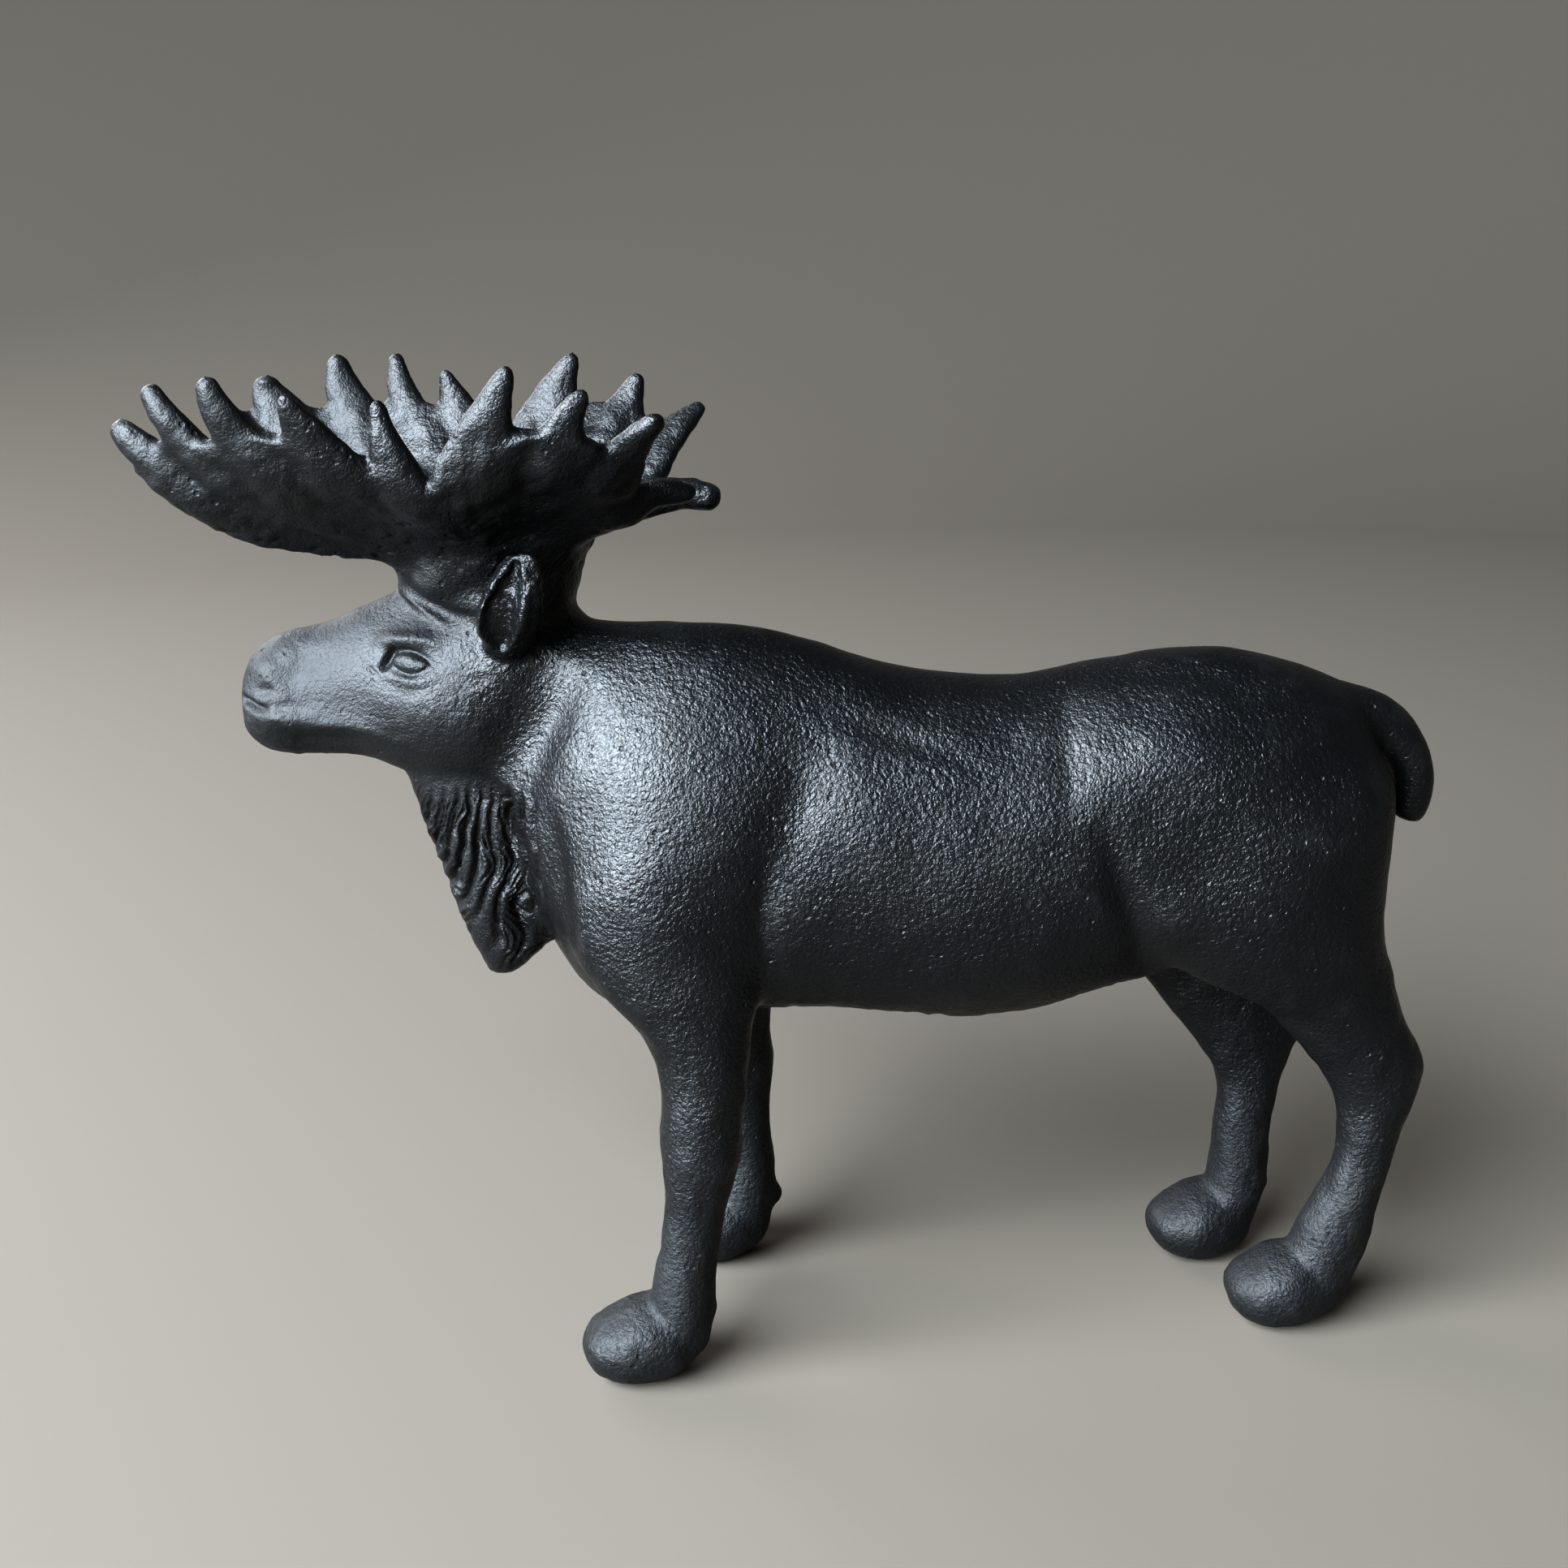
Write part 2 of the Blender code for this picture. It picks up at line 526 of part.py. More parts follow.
def carve_flanks(points, normals):
    """Muscles and folds of the trunk and thighs, alike on both sides."""
    places = points[:, [0, 2]]
    facing = ramp(np.abs(normals[:, 1]), 0.15, 0.6)
    body = ramp(points[:, 2], 70, 84) * ramp(points[:, 0], -66, -56)
    move = sum(groove(places, *row) for row in FLANK_LINES)
    move += sum(bulge(places, *row) for row in FLANK_BULGES)
    return move * facing * body


def carve_head(points, normals):
    """Eyes, brows, nostrils, mouth, cheeks and the locks of the dewlap."""
    here = in_head(points)
    facing = normals @ head_axes().T
    places = here[:, [0, 2]]
    outward = np.abs(facing[:, 1])
    sides = ramp(outward, 0.25, 0.6)
    face = ramp(-here[:, 0], 20, 24) * ramp(here[:, 2], 120, 124) * ramp(-here[:, 2], -160, -156)
    eye = EYE_LENGTH / UNIT / 2
    lid = np.hypot(*((places - EYE_MIDDLE) / (eye, eye * 0.52)).T)
    move = EYE_DOME * np.sqrt(np.clip(1 - lid**2, 0, 1))
    move += sum(groove(places, *row) for row in FACE_LINES)
    move += sum(bulge(places, *row) for row in FACE_BULGES)
    move = move * sides * face
    throat = ramp(-here[:, 2], -117, -108) * ramp(here[:, 2], 78, 84) * ramp(-here[:, 0], 7, 9)
    up = here[:, 2] - DEWLAP[-1][0]
    ahead = (LOCKS_REAR - here[:, 0]) * np.exp(LOCK_SWING * up)
    locks = 0.5 - 0.5 * np.cos(2 * math.pi * ahead / LOCK_SPACING)
    return move - LOCK_DEPTH / UNIT * locks**2 * throat * ramp(outward, 0.05, 0.35)


def figure():
    """The moose's mesh, in metres: fused, eased at its joins, carved, thinned and cut flat below."""
    mesh = fused()
    points = coordinates(mesh)
    here = in_head(points)
    low = 1 - ramp(points[:, 2], 18, 30)
    antler = ramp(here[:, 2], 166, 174) * ramp(-here[:, 0], -40, -34)
    face = ramp(-here[:, 0], 14, 24) * (1 - antler)
    ear_line = EAR_FOOT + np.array(EAR_CURVE) * EAR_LENGTH / UNIT
    ears = 1 - ramp(along_line(here * (1, 0, 1) + np.abs(here) * (0, 1, 0), ear_line)[0], 7.0, 9.0)
    ears *= ramp(-here[:, 2], -171, -168)
    weight = 0.5 * (1 - 0.7 * low) * (1 - 0.8 * antler) * (1 - 0.65 * face) * (1 - 0.9 * ears)
    flanks = ramp(points[:, 2], 84, 100) * ramp(points[:, 0], -62, -52) * ramp(-points[:, 0], -103, -90)
    flanks *= ramp(-here[:, 2], -150, -140)
    funnel = ramp(here[:, 2], 157, 164) * ramp(-here[:, 2], -186, -177) * (1 - ears)
    funnel *= 1 - ramp(np.hypot((here[:, 0] + 16) / 24, here[:, 1] / 24), 0.9, 1.3)
    points = smoothed(points, mesh, 0.7 * np.maximum(flanks, funnel), 45)
    points = smoothed(points, mesh, weight, 14)
    set_coordinates(mesh, points)
    normals = normals_of(mesh)
    move = carve_flanks(points, normals) + carve_head(points, normals)
    points = smoothed(points + normals * move[:, None], mesh, np.full(len(points), 0.4), 1)
    set_coordinates(mesh, (points - (0, 0, GROUND)) * UNIT)
    dewlap = ramp(-here[:, 0], 8, 12) * ramp(-here[:, 2], -120, -114)
    fine = np.clip(0.45 * face + 0.2 * dewlap + 0.5 * antler + 0.45 * ears, 0, 1) * (1 - low)
    mesh = thinned(mesh, fine)
    points = coordinates(mesh)
    middle = (points.min(axis=0) + points.max(axis=0)) / 2
    set_coordinates(mesh, points - (middle[0], middle[1], 0))
    return mesh


def thinned(mesh, fine):
    """The mesh with fewer triangles, most of them kept where the carving is fine."""
    shape = bpy.data.objects.new("moose", mesh)
    bpy.context.collection.objects.link(shape)
    group = shape.vertex_groups.new(name="coarse")
    steps = np.round(10 * (1 - fine)).astype(int)
    for step in range(1, 11):
        group.add(np.flatnonzero(steps == step).tolist(), step / 10, "REPLACE")
    thin = shape.modifiers.new("Thin", "DECIMATE")
    thin.use_collapse_triangulate = True
    thin.vertex_group = group.name
    thin.vertex_group_factor = 0.006
    thin.ratio = TRIANGLES / (2 * len(mesh.polygons))
    fewer = bpy.data.meshes.new_from_object(shape.evaluated_get(bpy.context.evaluated_depsgraph_get()))
    bpy.data.objects.remove(shape)
    cut = bmesh.new()
    cut.from_mesh(fewer)
    everything = cut.verts[:] + cut.edges[:] + cut.faces[:]
    bmesh.ops.bisect_plane(cut, geom=everything, plane_co=(0, 0, 0), plane_no=(0, 0, -1), clear_outer=True)
    bmesh.ops.holes_fill(cut, edges=[edge for edge in cut.edges if edge.is_boundary])
    bmesh.ops.triangulate(cut, faces=cut.faces)
    cut.to_mesh(fewer)
    cut.free()
    fewer.name = "moose"
    return fewer


def black_paint():
    """Satin black paint on the cast metal."""
    paint = bpy.data.materials.new("black_paint")
    paint.use_nodes = True
    shader = paint.node_tree.nodes["Principled BSDF"]
    shader.inputs["Base Color"].default_value = (0.012, 0.012, 0.013, 1)
    shader.inputs["Roughness"].default_value = 0.42
    shader.inputs["Metallic"].default_value = 0.0
    return paint


for old in list(bpy.data.objects):
    bpy.data.objects.remove(old)
moose = bpy.data.objects.new("moose", figure())
bpy.context.collection.objects.link(moose)
moose.data.materials.append(black_paint())
moose.data.shade_smooth()
moose.data.set_sharp_from_angle(angle=math.radians(50))
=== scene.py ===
# Moose figurine, cast in one piece and painted black, on a plain floor that bends up into a wall.
# Shapes are worked out in millimetres in the figure's own tables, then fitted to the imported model.
# Near is the side that the photograph shows, where y is negative, and far is the other one.
import math

import bmesh
import bpy
import numpy as np
from mathutils import Matrix, Vector


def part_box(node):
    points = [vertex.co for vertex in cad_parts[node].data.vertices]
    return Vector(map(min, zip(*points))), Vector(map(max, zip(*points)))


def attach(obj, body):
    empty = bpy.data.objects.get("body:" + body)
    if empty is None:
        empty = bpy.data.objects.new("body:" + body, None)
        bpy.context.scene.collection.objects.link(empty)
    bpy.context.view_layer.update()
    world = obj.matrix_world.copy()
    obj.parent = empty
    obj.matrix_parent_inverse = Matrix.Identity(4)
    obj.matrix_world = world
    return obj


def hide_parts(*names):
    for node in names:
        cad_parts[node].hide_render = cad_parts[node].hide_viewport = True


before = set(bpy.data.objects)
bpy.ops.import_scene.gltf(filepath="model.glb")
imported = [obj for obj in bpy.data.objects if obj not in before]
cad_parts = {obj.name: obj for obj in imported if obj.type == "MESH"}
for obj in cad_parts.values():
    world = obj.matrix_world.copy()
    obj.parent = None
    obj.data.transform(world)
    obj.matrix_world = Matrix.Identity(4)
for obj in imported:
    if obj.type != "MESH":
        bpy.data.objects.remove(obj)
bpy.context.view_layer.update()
print("packed model loaded")

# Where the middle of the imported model's underside lies in the tables: the round hooves are cut off
# flat at that height.
tableOrigin = (-1.793, 9.719, 0.8)


def through(rows, count):
    # evenly numbered points on a Catmull-Rom curve through the rows
    rows = np.array(rows, float)
    ends = np.vstack([2 * rows[0] - rows[1], rows, 2 * rows[-1] - rows[-2]])
    at = np.linspace(0, len(rows) - 1, count)
    first = np.minimum(at.astype(int), len(rows) - 2)
    f = (at - first)[:, None]
    a, b, c, d = (ends[first + i] for i in range(4))
    square = 2 * a - 5 * b + 4 * c - d
    cube = 3 * b - a - 3 * c + d
    return 0.5 * (2 * b + (c - a) * f + square * f**2 + cube * f**3)


# Further down, the spans of ramp and fall are millimetres of the tables: head x and z where they
# read "here", and body x and z where they read "points".
def ramp(value, low, high):
    # 0 below low, 1 above high, 3t^2 - 2t^3 between
    t = np.clip((value - low) / (high - low), 0, 1)
    return t * t * (3 - 2 * t)


def fall(value, low, high):
    # 1 below low, 0 above high
    return ramp(-value, -high, -low)


def swell(share, start, part, power):
    # sin(pi (start + part share))^power: full in the middle, drawn in towards both ends
    return np.sin(math.pi * (start + part * share)) ** power


def around(count):
    return np.linspace(0, 2 * math.pi, count, endpoint=False)


def quads(count, points):
    # the faces between neighbouring rings, for count rings of that many points
    i, j = np.meshgrid(np.arange(count - 1), np.arange(points), indexing="ij")
    a = i * points + j
    b = i * points + (j + 1) % points
    return np.stack([a, b, b + points, a + points], axis=-1).reshape(-1, 4)


def skin(rings):
    # quads between the rings, and a fan to the mean point over each end
    count, size = rings.shape[:2]
    points = np.vstack([rings.reshape(-1, 3), rings[0].mean(axis=0), rings[-1].mean(axis=0)])
    faces = quads(count, size).tolist()
    turn = np.arange(size)
    after = (turn + 1) % size
    low = count * size
    last = (count - 1) * size
    faces += np.stack([np.full(size, low), after, turn], axis=-1).tolist()
    faces += np.stack([np.full(size, low + 1), last + turn, last + after], axis=-1).tolist()
    return points, faces


def mirrored(mesh, side):
    # as it is on the far side, its mirror image on the near one
    points, faces = mesh
    if side > 0:
        return points, faces
    return points * np.array([1, -1, 1]), [face[::-1] for face in faces]


def ringsAcross(rows, size=56, count=110):
    # at each x an oval: y = middle + half sin(t) (1 - narrow cos(t)), z = mean + half height cos(t)
    x, top, bottom, half, middle, narrow = through(rows, count).T[:, :, None]
    turn = around(size)
    rise = np.cos(turn)
    y = middle + half * np.sin(turn) * (1 - narrow * rise)
    z = (top + bottom) / 2 + (top - bottom) / 2 * rise
    return skin(np.stack([x + 0 * z, y, z], axis=-1))


def ringsLevel(rows, size=44, count=100):
    # at each z an ellipse between the front and rear x
    z, front, rear, middle, half = through(rows, count).T[:, :, None]
    turn = around(size)
    x = (front + rear) / 2 + (rear - front) / 2 * np.cos(turn)
    return skin(np.stack([x, middle + half * np.sin(turn), z + 0 * x], axis=-1))


def tube(path, wide, thick, acrossWay, size=28):
    # an ellipse at each point of the path: path + side wide cos(t) + other thick sin(t)
    way = np.gradient(path, axis=0)
    way /= np.linalg.norm(way, axis=1)[:, None]
    side = acrossWay - way * np.sum(way * acrossWay, axis=1)[:, None]
    side /= np.linalg.norm(side, axis=1)[:, None]
    other = np.cross(way, side)
    turn = around(size)
    rings = path[:, None] + side[:, None] * (np.cos(turn) * wide[:, None])[:, :, None]
    return skin(rings + other[:, None] * (np.sin(turn) * thick[:, None])[:, :, None])


# Trunk and neck, cut across x: x, top, bottom, half width, middle y, narrowing of the top.
torso = {
    "rows": [
        (-68, 158, 124, 12.0, 8.5, 0.10),
        (-60, 158, 103.5, 15.0, 7.4, 0.12),
        (-55.5, 156, 87.2, 18.0, 6.0, 0.15),
        (-49, 153.6, 77.0, 22.0, 4.2, 0.20),
        (-41, 152.0, 72.6, 25.0, 2.4, 0.22),
        (-30, 151.6, 72.5, 26.0, 0.8, 0.22),
        (-16, 150.6, 72.6, 26.0, 0.0, 0.20),
        (-2, 147.4, 72.4, 25.5, 0.0, 0.18),
        (12, 142.6, 70.8, 26.5, 0.0, 0.15),
        (26, 139.6, 69.2, 28.0, 0.0, 0.12),
        (40, 138.6, 70.3, 28.0, 0.0, 0.12),
        (54, 141.0, 74.0, 26.5, 0.0, 0.14),
        (68, 142.7, 77.5, 25.0, 0.0, 0.16),
        (82, 142.4, 84.0, 24.0, 0.0, 0.16),
        (94, 139.0, 90.0, 21.0, 0.0, 0.14),
        (104, 133.6, 96.0, 15.5, 0.0, 0.10),
        (109.5, 127.0, 101.0, 9.0, 0.0, 0.0),
    ],
}

# Legs, cut level: z, front x, rear x, middle y, half width.
legs = {
    "frontNear": [
        (128, -38, -18, -8.0, 10.0),
        (116, -47, -13, -12.0, 12.6),
        (104, -52, -10.5, -14.0, 13.7),
        (93, -51, -11.5, -15.8, 12.5),
        (84, -45.5, -13.0, -18.0, 11.0),
        (75, -37.6, -15.6, -20.0, 9.0),
        (66, -34.6, -17.0, -21.4, 8.0),
        (56, -34.8, -18.2, -22.0, 7.6),
        (48, -35.0, -19.2, -22.3, 7.3),
        (40, -34.7, -21.6, -22.5, 6.3),
        (32, -35.7, -23.4, -22.5, 6.0),
        (24, -37.6, -24.8, -22.5, 6.3),
        (16, -38.8, -25.4, -22.5, 6.8),
        (7, -39.0, -27.0, -22.5, 6.4),
    ],
    "frontFar": [
        (128, -34, -14, 8.0, 10.0),
        (116, -43, -10, 12.0, 12.6),
        (104, -47, -7.0, 14.0, 13.7),
        (93, -45, -7.5, 15.8, 12.5),
        (84, -39, -8.5, 18.0, 11.0),
        (75, -31.5, -9.8, 20.0, 9.0),
        (66, -28.0, -10.8, 21.4, 8.0),
        (56, -26.6, -11.4, 22.0, 7.6),
        (48, -26.0, -10.8, 22.3, 7.3),
        (40, -24.8, -11.8, 22.5, 6.3),
        (32, -24.4, -12.0, 22.5, 6.0),
        (24, -24.6, -11.9, 22.5, 6.3),
        (16, -25.0, -11.8, 22.5, 6.8),
        (7, -25.6, -13.4, 22.5, 6.4),
    ],
    "hindNear": [
        (130, 72, 104, -5.0, 8.0),
        (118, 62, 111.0, -9.5, 12.8),
        (106, 57, 110.3, -12.2, 14.0),
        (95, 57.5, 109.2, -13.8, 13.4),
        (86, 63, 109.6, -14.5, 12.0),
        (79.4, 72.5, 111.2, -14.5, 10.4),
        (73.5, 84.0, 112.8, -14.2, 9.2),
        (66, 91.0, 116.0, -14.0, 7.8),
        (59, 96.8, 119.3, -13.9, 7.0),
        (52, 101.0, 118.6, -13.8, 6.4),
        (44.1, 102.5, 115.7, -13.8, 6.0),
        (37, 102.0, 113.6, -13.8, 5.9),
        (30, 98.9, 112.0, -13.8, 6.2),
        (22.5, 95.0, 110.7, -13.8, 6.8),
        (15, 93.0, 108.6, -13.8, 7.2),
        (6, 92.0, 105.0, -13.8, 6.6),
    ],
    "hindFar": [
        (130, 70, 103, 5.0, 8.0),
        (118, 60, 110.5, 9.5, 12.8),
        (106, 54.5, 109.0, 12.2, 14.0),
        (95, 54, 108.4, 13.8, 13.4),
        (86, 57, 107.6, 14.5, 12.0),
        (77, 62.0, 107.0, 14.5, 10.2),
        (67, 68.6, 106.4, 14.2, 8.6),
        (58.4, 74.8, 105.0, 14.0, 7.4),
        (51.5, 80.0, 102.0, 13.9, 6.6),
        (44.9, 83.9, 99.4, 13.8, 6.1),
        (38, 84.7, 97.6, 13.8, 5.9),
        (30, 84.2, 96.8, 13.8, 6.0),
        (22, 83.6, 96.5, 13.8, 6.5),
        (14, 82.5, 95.4, 13.8, 6.9),
        (6, 81.0, 92.8, 13.8, 6.4),
    ],
}

hooves = {
    "length": 25.2,
    "width": 19.5,
    "height": 17.5,  # above the cut
    "slope": 0.42,  # how far the top falls towards the toe
    "toe": (-0.3, 1.0),  # where it falls, from -1 at the heel to 1 at the toe
    "fuller": 0.10,  # how much fuller it is at the toe, and slimmer at the heel
    "blunt": 0.92,  # under 1 makes the ends blunter
    # x, y and share of the length of each hoof, and x, y, z of each dewclaw
    "places": [(-40.3, -22.5, 1.0), (-25.5, 22.5, 0.93), (93.0, -13.8, 0.97), (81.9, 13.8, 0.93)],
    "dewclaws": [(-27.6, -22.5, 15.4), (-13.0, 22.5, 15.4), (107.0, -13.8, 18.0), (94.0, 13.8, 18.0)],
    "dewclawRadius": 3.0,
}

tail = {
    "path": [(102, 129, 6.0), (110.6, 126.4, 5.4), (115.8, 121, 4.8), (118.6, 114, 4.2),
             (118.2, 109, 4.3), (116.9, 105.4, 3.4)],  # x, z, half thickness
    "width": 10.0,
    "taper": (1.3, 0.7),  # shares of that width at the root and the end
}


def egg(middle, sizes, size=36, count=24, slope=0.0):
    # radius sin(p)^blunt (1 - fuller cos(p)) at x = cos(p); its top falls by slope towards the toe
    pole = 0.04
    rise = np.linspace(pole, math.pi - pole, count)[:, None]
    turn = around(size)[None]
    x = np.cos(rise) + 0 * turn
    reach = np.sin(rise) ** hooves["blunt"] * (1 - hooves["fuller"] * x)
    z = reach * np.sin(turn)
    z = z * (1 - slope * ramp(-x, *hooves["toe"]) * (z > 0))
    return skin(np.stack([x, reach * np.cos(turn), z], axis=-1) * sizes + middle)


def trunkAndLegs():
    yield ringsAcross(torso["rows"])
    for leg in legs.values():
        yield ringsLevel(leg)
    rise = (hooves["height"] + tableOrigin[2]) / 2
    for x, y, share in hooves["places"]:
        sizes = (share * hooves["length"] / 2, hooves["width"] / 2, rise)
        yield egg((x, y, rise), sizes, slope=hooves["slope"])
    for place in hooves["dewclaws"]:
        yield egg(place, [hooves["dewclawRadius"]] * 3, size=20, count=14)
    x, z, thick = through(tail["path"], 40).T
    wide = tail["width"] / 2 * np.linspace(*tail["taper"], len(x))
    yield tube(np.stack([x, 0 * x, z], axis=-1), wide, thick, np.array([0, 1.0, 0]))


# The head's own frame: x along the head, y to its sides, z up.
head = {
    "turn": -5.5,  # degrees about the body's z
    "tilt": 1.0,  # degrees about the head's x
    "origin": (-46.0, 6.0, 160.0),
    "narrow": 0.12,  # narrowing of the top
    "rows": [  # x, top, bottom, half width
        (-67.6, 143.2, 130.6, 5.6),
        (-65.0, 147.2, 127.9, 8.2),
        (-59.5, 150.4, 125.9, 10.0),
        (-51, 152.3, 125.7, 10.2),
        (-43, 155.3, 124.9, 11.4),
        (-35, 158.4, 121.8, 13.6),
        (-26, 161.0, 119.4, 15.4),
        (-15, 162.0, 119.0, 16.2),
        (-4, 157.0, 119.0, 15.2),
        (6, 147.0, 118.0, 12.0),
    ],
    "crown": [  # z, front x, rear x, half width
        (148, -22, -3, 11.0),
        (154, -27.0, -1.2, 13.4),
        (157.5, -32.0, 0.0, 13.9),
        (161, -35.6, 1.0, 14.2),
        (165.5, -37.0, 3.0, 15.6),
        (169, -35.6, 4.0, 17.6),
        (171.5, -31.0, 3.0, 15.0),
    ],
}

dewlap = {
    "rows": [  # z, front x, rear x, half width
        (128, -39, -6, 10.5),
        (121, -36.4, -7, 10.2),
        (114, -35.1, -7.5, 9.8),
        (107, -33.1, -8, 9.4),
        (100, -31.0, -7, 8.8),
        (94, -29.4, -7.5, 8.2),
        (87, -27.0, -9.0, 6.8),
        (81.8, -24.6, -13.0, 5.0),
        (78.0, -22.8, -18.6, 2.4),
    ],
    "lockRear": -7.0,  # the grooves leave this x steeply and swing forward going down
    "lockSwing": 0.036,
    "lockBend": (34, 1.25),  # height over which they straighten, and how steeply they start
    "lockSpacing": 8.2,
    "lockDepth": 1.6,
    "strandDepth": 1.0,
    "strandsPerLock": 2.7,
    # noise, as rows of pitch, height and seed: how far the grooves stray, how much their depth
    # varies, and where the strands break off
    "stray": [(8.0, 3.0, 21), (3.2, 1.2, 22)],
    "uneven": [((6.0, 18.0, 9.0), 0.75, 23)],
    "breaks": [((3.0, 12.0, 6.0), 1.0, 24)],
}


def headAxes():
    # rows: the head's x turned by turn degrees, its y leaning by tilt, its z square to both
    turn, tilt = math.radians(head["turn"]), math.radians(head["tilt"])
    c, s = math.cos(turn), math.sin(turn)
    x = np.array([c, s, 0])
    y = np.array([-s, c, 0]) * math.cos(tilt) - np.array([0, 0, math.sin(tilt)])
    return np.stack([x, y, np.cross(x, y)])


axes = headAxes()
headOrigin = np.array(head["origin"])
headLevel = np.array([0, 0, headOrigin[2]])


def inBody(mesh):
    points, faces = mesh
    return (points - headLevel) @ axes + headOrigin, faces


def inHead(points):
    return (points - headOrigin) @ axes.T + headLevel


antlers = {
    "root": [(-30, 7.0, 163.0), (-15, 6.0, 168.5), (0, 6.0, 167.0)],
    "grid": (90, 44),  # points along the rim, and from the root to the rim
    "sag": (5.4, 1.0),  # how far the palm bellies down, front and rear
    "sagWay": (0, 0.3, -0.95),
    "sagLate": 1.6,  # over 1 moves the belly towards the rim
    "thickness": 4.8,
    "thinning": (1.35, 0.6),  # its share at the root, and how much of that is lost by the rim
    "edges": (0.09, 0.84, 0.4),  # how round the front and rear edges are, as swell takes them
    "tipRadius": 1.8,
    "tipEase": 0.25,  # added to each tine's length
    "tipStart": (0.93, 0.072),  # where a tine's end starts to round, and over what share
    "tineStart": (0.55, 0.85),  # two places inside the palm that a tine comes through
    "tineKnee": 0.35,  # and one beyond its notches, as a share of the way to the tip
    "tinePoints": 44,
    "tineWeb": 1.04,  # how far neighbouring tines run into each other
    # from the front back: share of the tips' radius, and head x, y, z of notches and tips
    "nearShares": [1.15, 1.1, 1.1, 0.8, 0.75, 0.85, 0.8, 1.0, 1.0],
    "farShares": [1.15, 1.1, 1.1, 0.8, 0.75, 0.85, 0.8, 1.0, 1.7],
    "nearNotches": [
        (-74.5, 26.5, 185.8), (-66.6, 31.0, 191.4), (-58.4, 34.5, 191.2), (-46.4, 36.5, 192.6),
        (-31.1, 34.5, 187.4), (-20.0, 33.0, 182.0), (-2.7, 33.5, 191.2), (9.3, 30.5, 189.0),
        (15.0, 18.0, 181.0), (11.5, 6.5, 172.8),
    ],
    "nearTips": [
        (-77.0, 26.5, 193.8), (-68.5, 31.0, 200.9), (-56.0, 37.5, 202.4), (-41.7, 40.5, 199.4),
        (-27.2, 34.0, 197.7), (-3.5, 34.5, 202.8), (9.2, 33.0, 198.4), (21.4, 29.5, 192.9),
        (24.6, 8.0, 177.2),
    ],
    "farNotches": [
        (-73.5, 26.5, 185.8), (-75.0, 32.0, 190.4), (-59.7, 35.5, 190.6), (-46.0, 37.5, 191.0),
        (-35.0, 35.0, 190.6), (-21.0, 33.0, 183.0), (-0.5, 33.5, 190.2), (12.0, 30.5, 186.6),
        (15.2, 18.0, 177.6), (11.8, 6.5, 171.6),
    ],
    "farTips": [
        (-76.8, 27.5, 193.4), (-68.4, 33.0, 197.7), (-54.4, 37.5, 201.6), (-42.7, 40.5, 201.2),
        (-31.3, 34.0, 198.1), (-3.8, 34.5, 200.7), (9.8, 33.0, 196.2), (22.9, 29.5, 190.1),
        (27.3, 8.0, 173.6),
    ],
}


def sag(u, v):
    # the palm's belly: (front + (rear - front) u) sin(pi v^sagLate), outwards and down
    front, rear = antlers["sag"]
    deep = (front + (rear - front) * u) * np.sin(math.pi * v ** antlers["sagLate"])
    return deep * np.array(antlers["sagWay"])


def palm(notches, side):
    # root + (rim - root) v + sag, thickened along its normal, round at its edges
    along, outwards = antlers["grid"]
    u = np.linspace(0, 1, along)[:, None, None]
    v = np.linspace(0, 1, outwards)[None, :, None]
    root = through(antlers["root"], along)[:, None]
    rim = through(notches, along)[:, None]
    middle = root + (rim - root) * v + sag(u, v)
    normal = np.cross(np.gradient(middle, axis=0), np.gradient(middle, axis=1))
    normal /= np.linalg.norm(normal, axis=2)[:, :, None]
    thick, lost = antlers["thinning"]
    half = antlers["thickness"] / 2 * swell(u, *antlers["edges"]) * (thick - lost * v)
    rings = np.concatenate([middle + normal * half, (middle - normal * half)[:, ::-1]], axis=1)
    return mirrored(skin(rings), side)


def tine(number, notches, tips, shares, side):
    # a tube from inside the palm, s = 0, to the tip, s = 1. It is as wide as its two notches are
    # apart where it leaves the palm and tapers to the tip's radius; its end is a half ellipse
    first, second = np.array(notches[number]), np.array(notches[number + 1])
    tip = np.array(tips[number])
    base = (first + second) / 2
    tip += antlers["tipEase"] * (tip - base) / np.linalg.norm(tip - base)
    u = (number + 0.5) / len(tips)
    root = through(antlers["root"], 101)[int(100 * u)]
    inPalm = [root + (base - root) * v + sag(u, v) for v in antlers["tineStart"]]
    path = through([*inPalm, base + (tip - base) * antlers["tineKnee"], tip], antlers["tinePoints"])
    s = np.linspace(0, 1, len(path))
    tipRadius = antlers["tipRadius"] * shares[number]
    half = np.linalg.norm(second - first) / 2 * antlers["tineWeb"]
    start, length = antlers["tipStart"]
    roundEnd = np.sqrt(np.clip(1 - ((s - start).clip(0) / length) ** 2, 0.01, 1))
    taper = 0.35 * ramp(s, 0.10, 1.02) + 0.65 * ((s - 0.2).clip(0) / 0.8)
    wide = (half * (0.55 + 0.45 * ramp(s, 0, 0.3)) + (tipRadius - half) * taper) * roundEnd
    rootHalf = antlers["thickness"] * 0.66
    body = rootHalf * (0.7 + 0.3 * ramp(s, 0, 0.35))
    thick = (body + (tipRadius * 0.95 - rootHalf) * ramp(s, 0.25, 1.0)) * roundEnd
    return mirrored(tube(path, wide, thick, second - first), side)


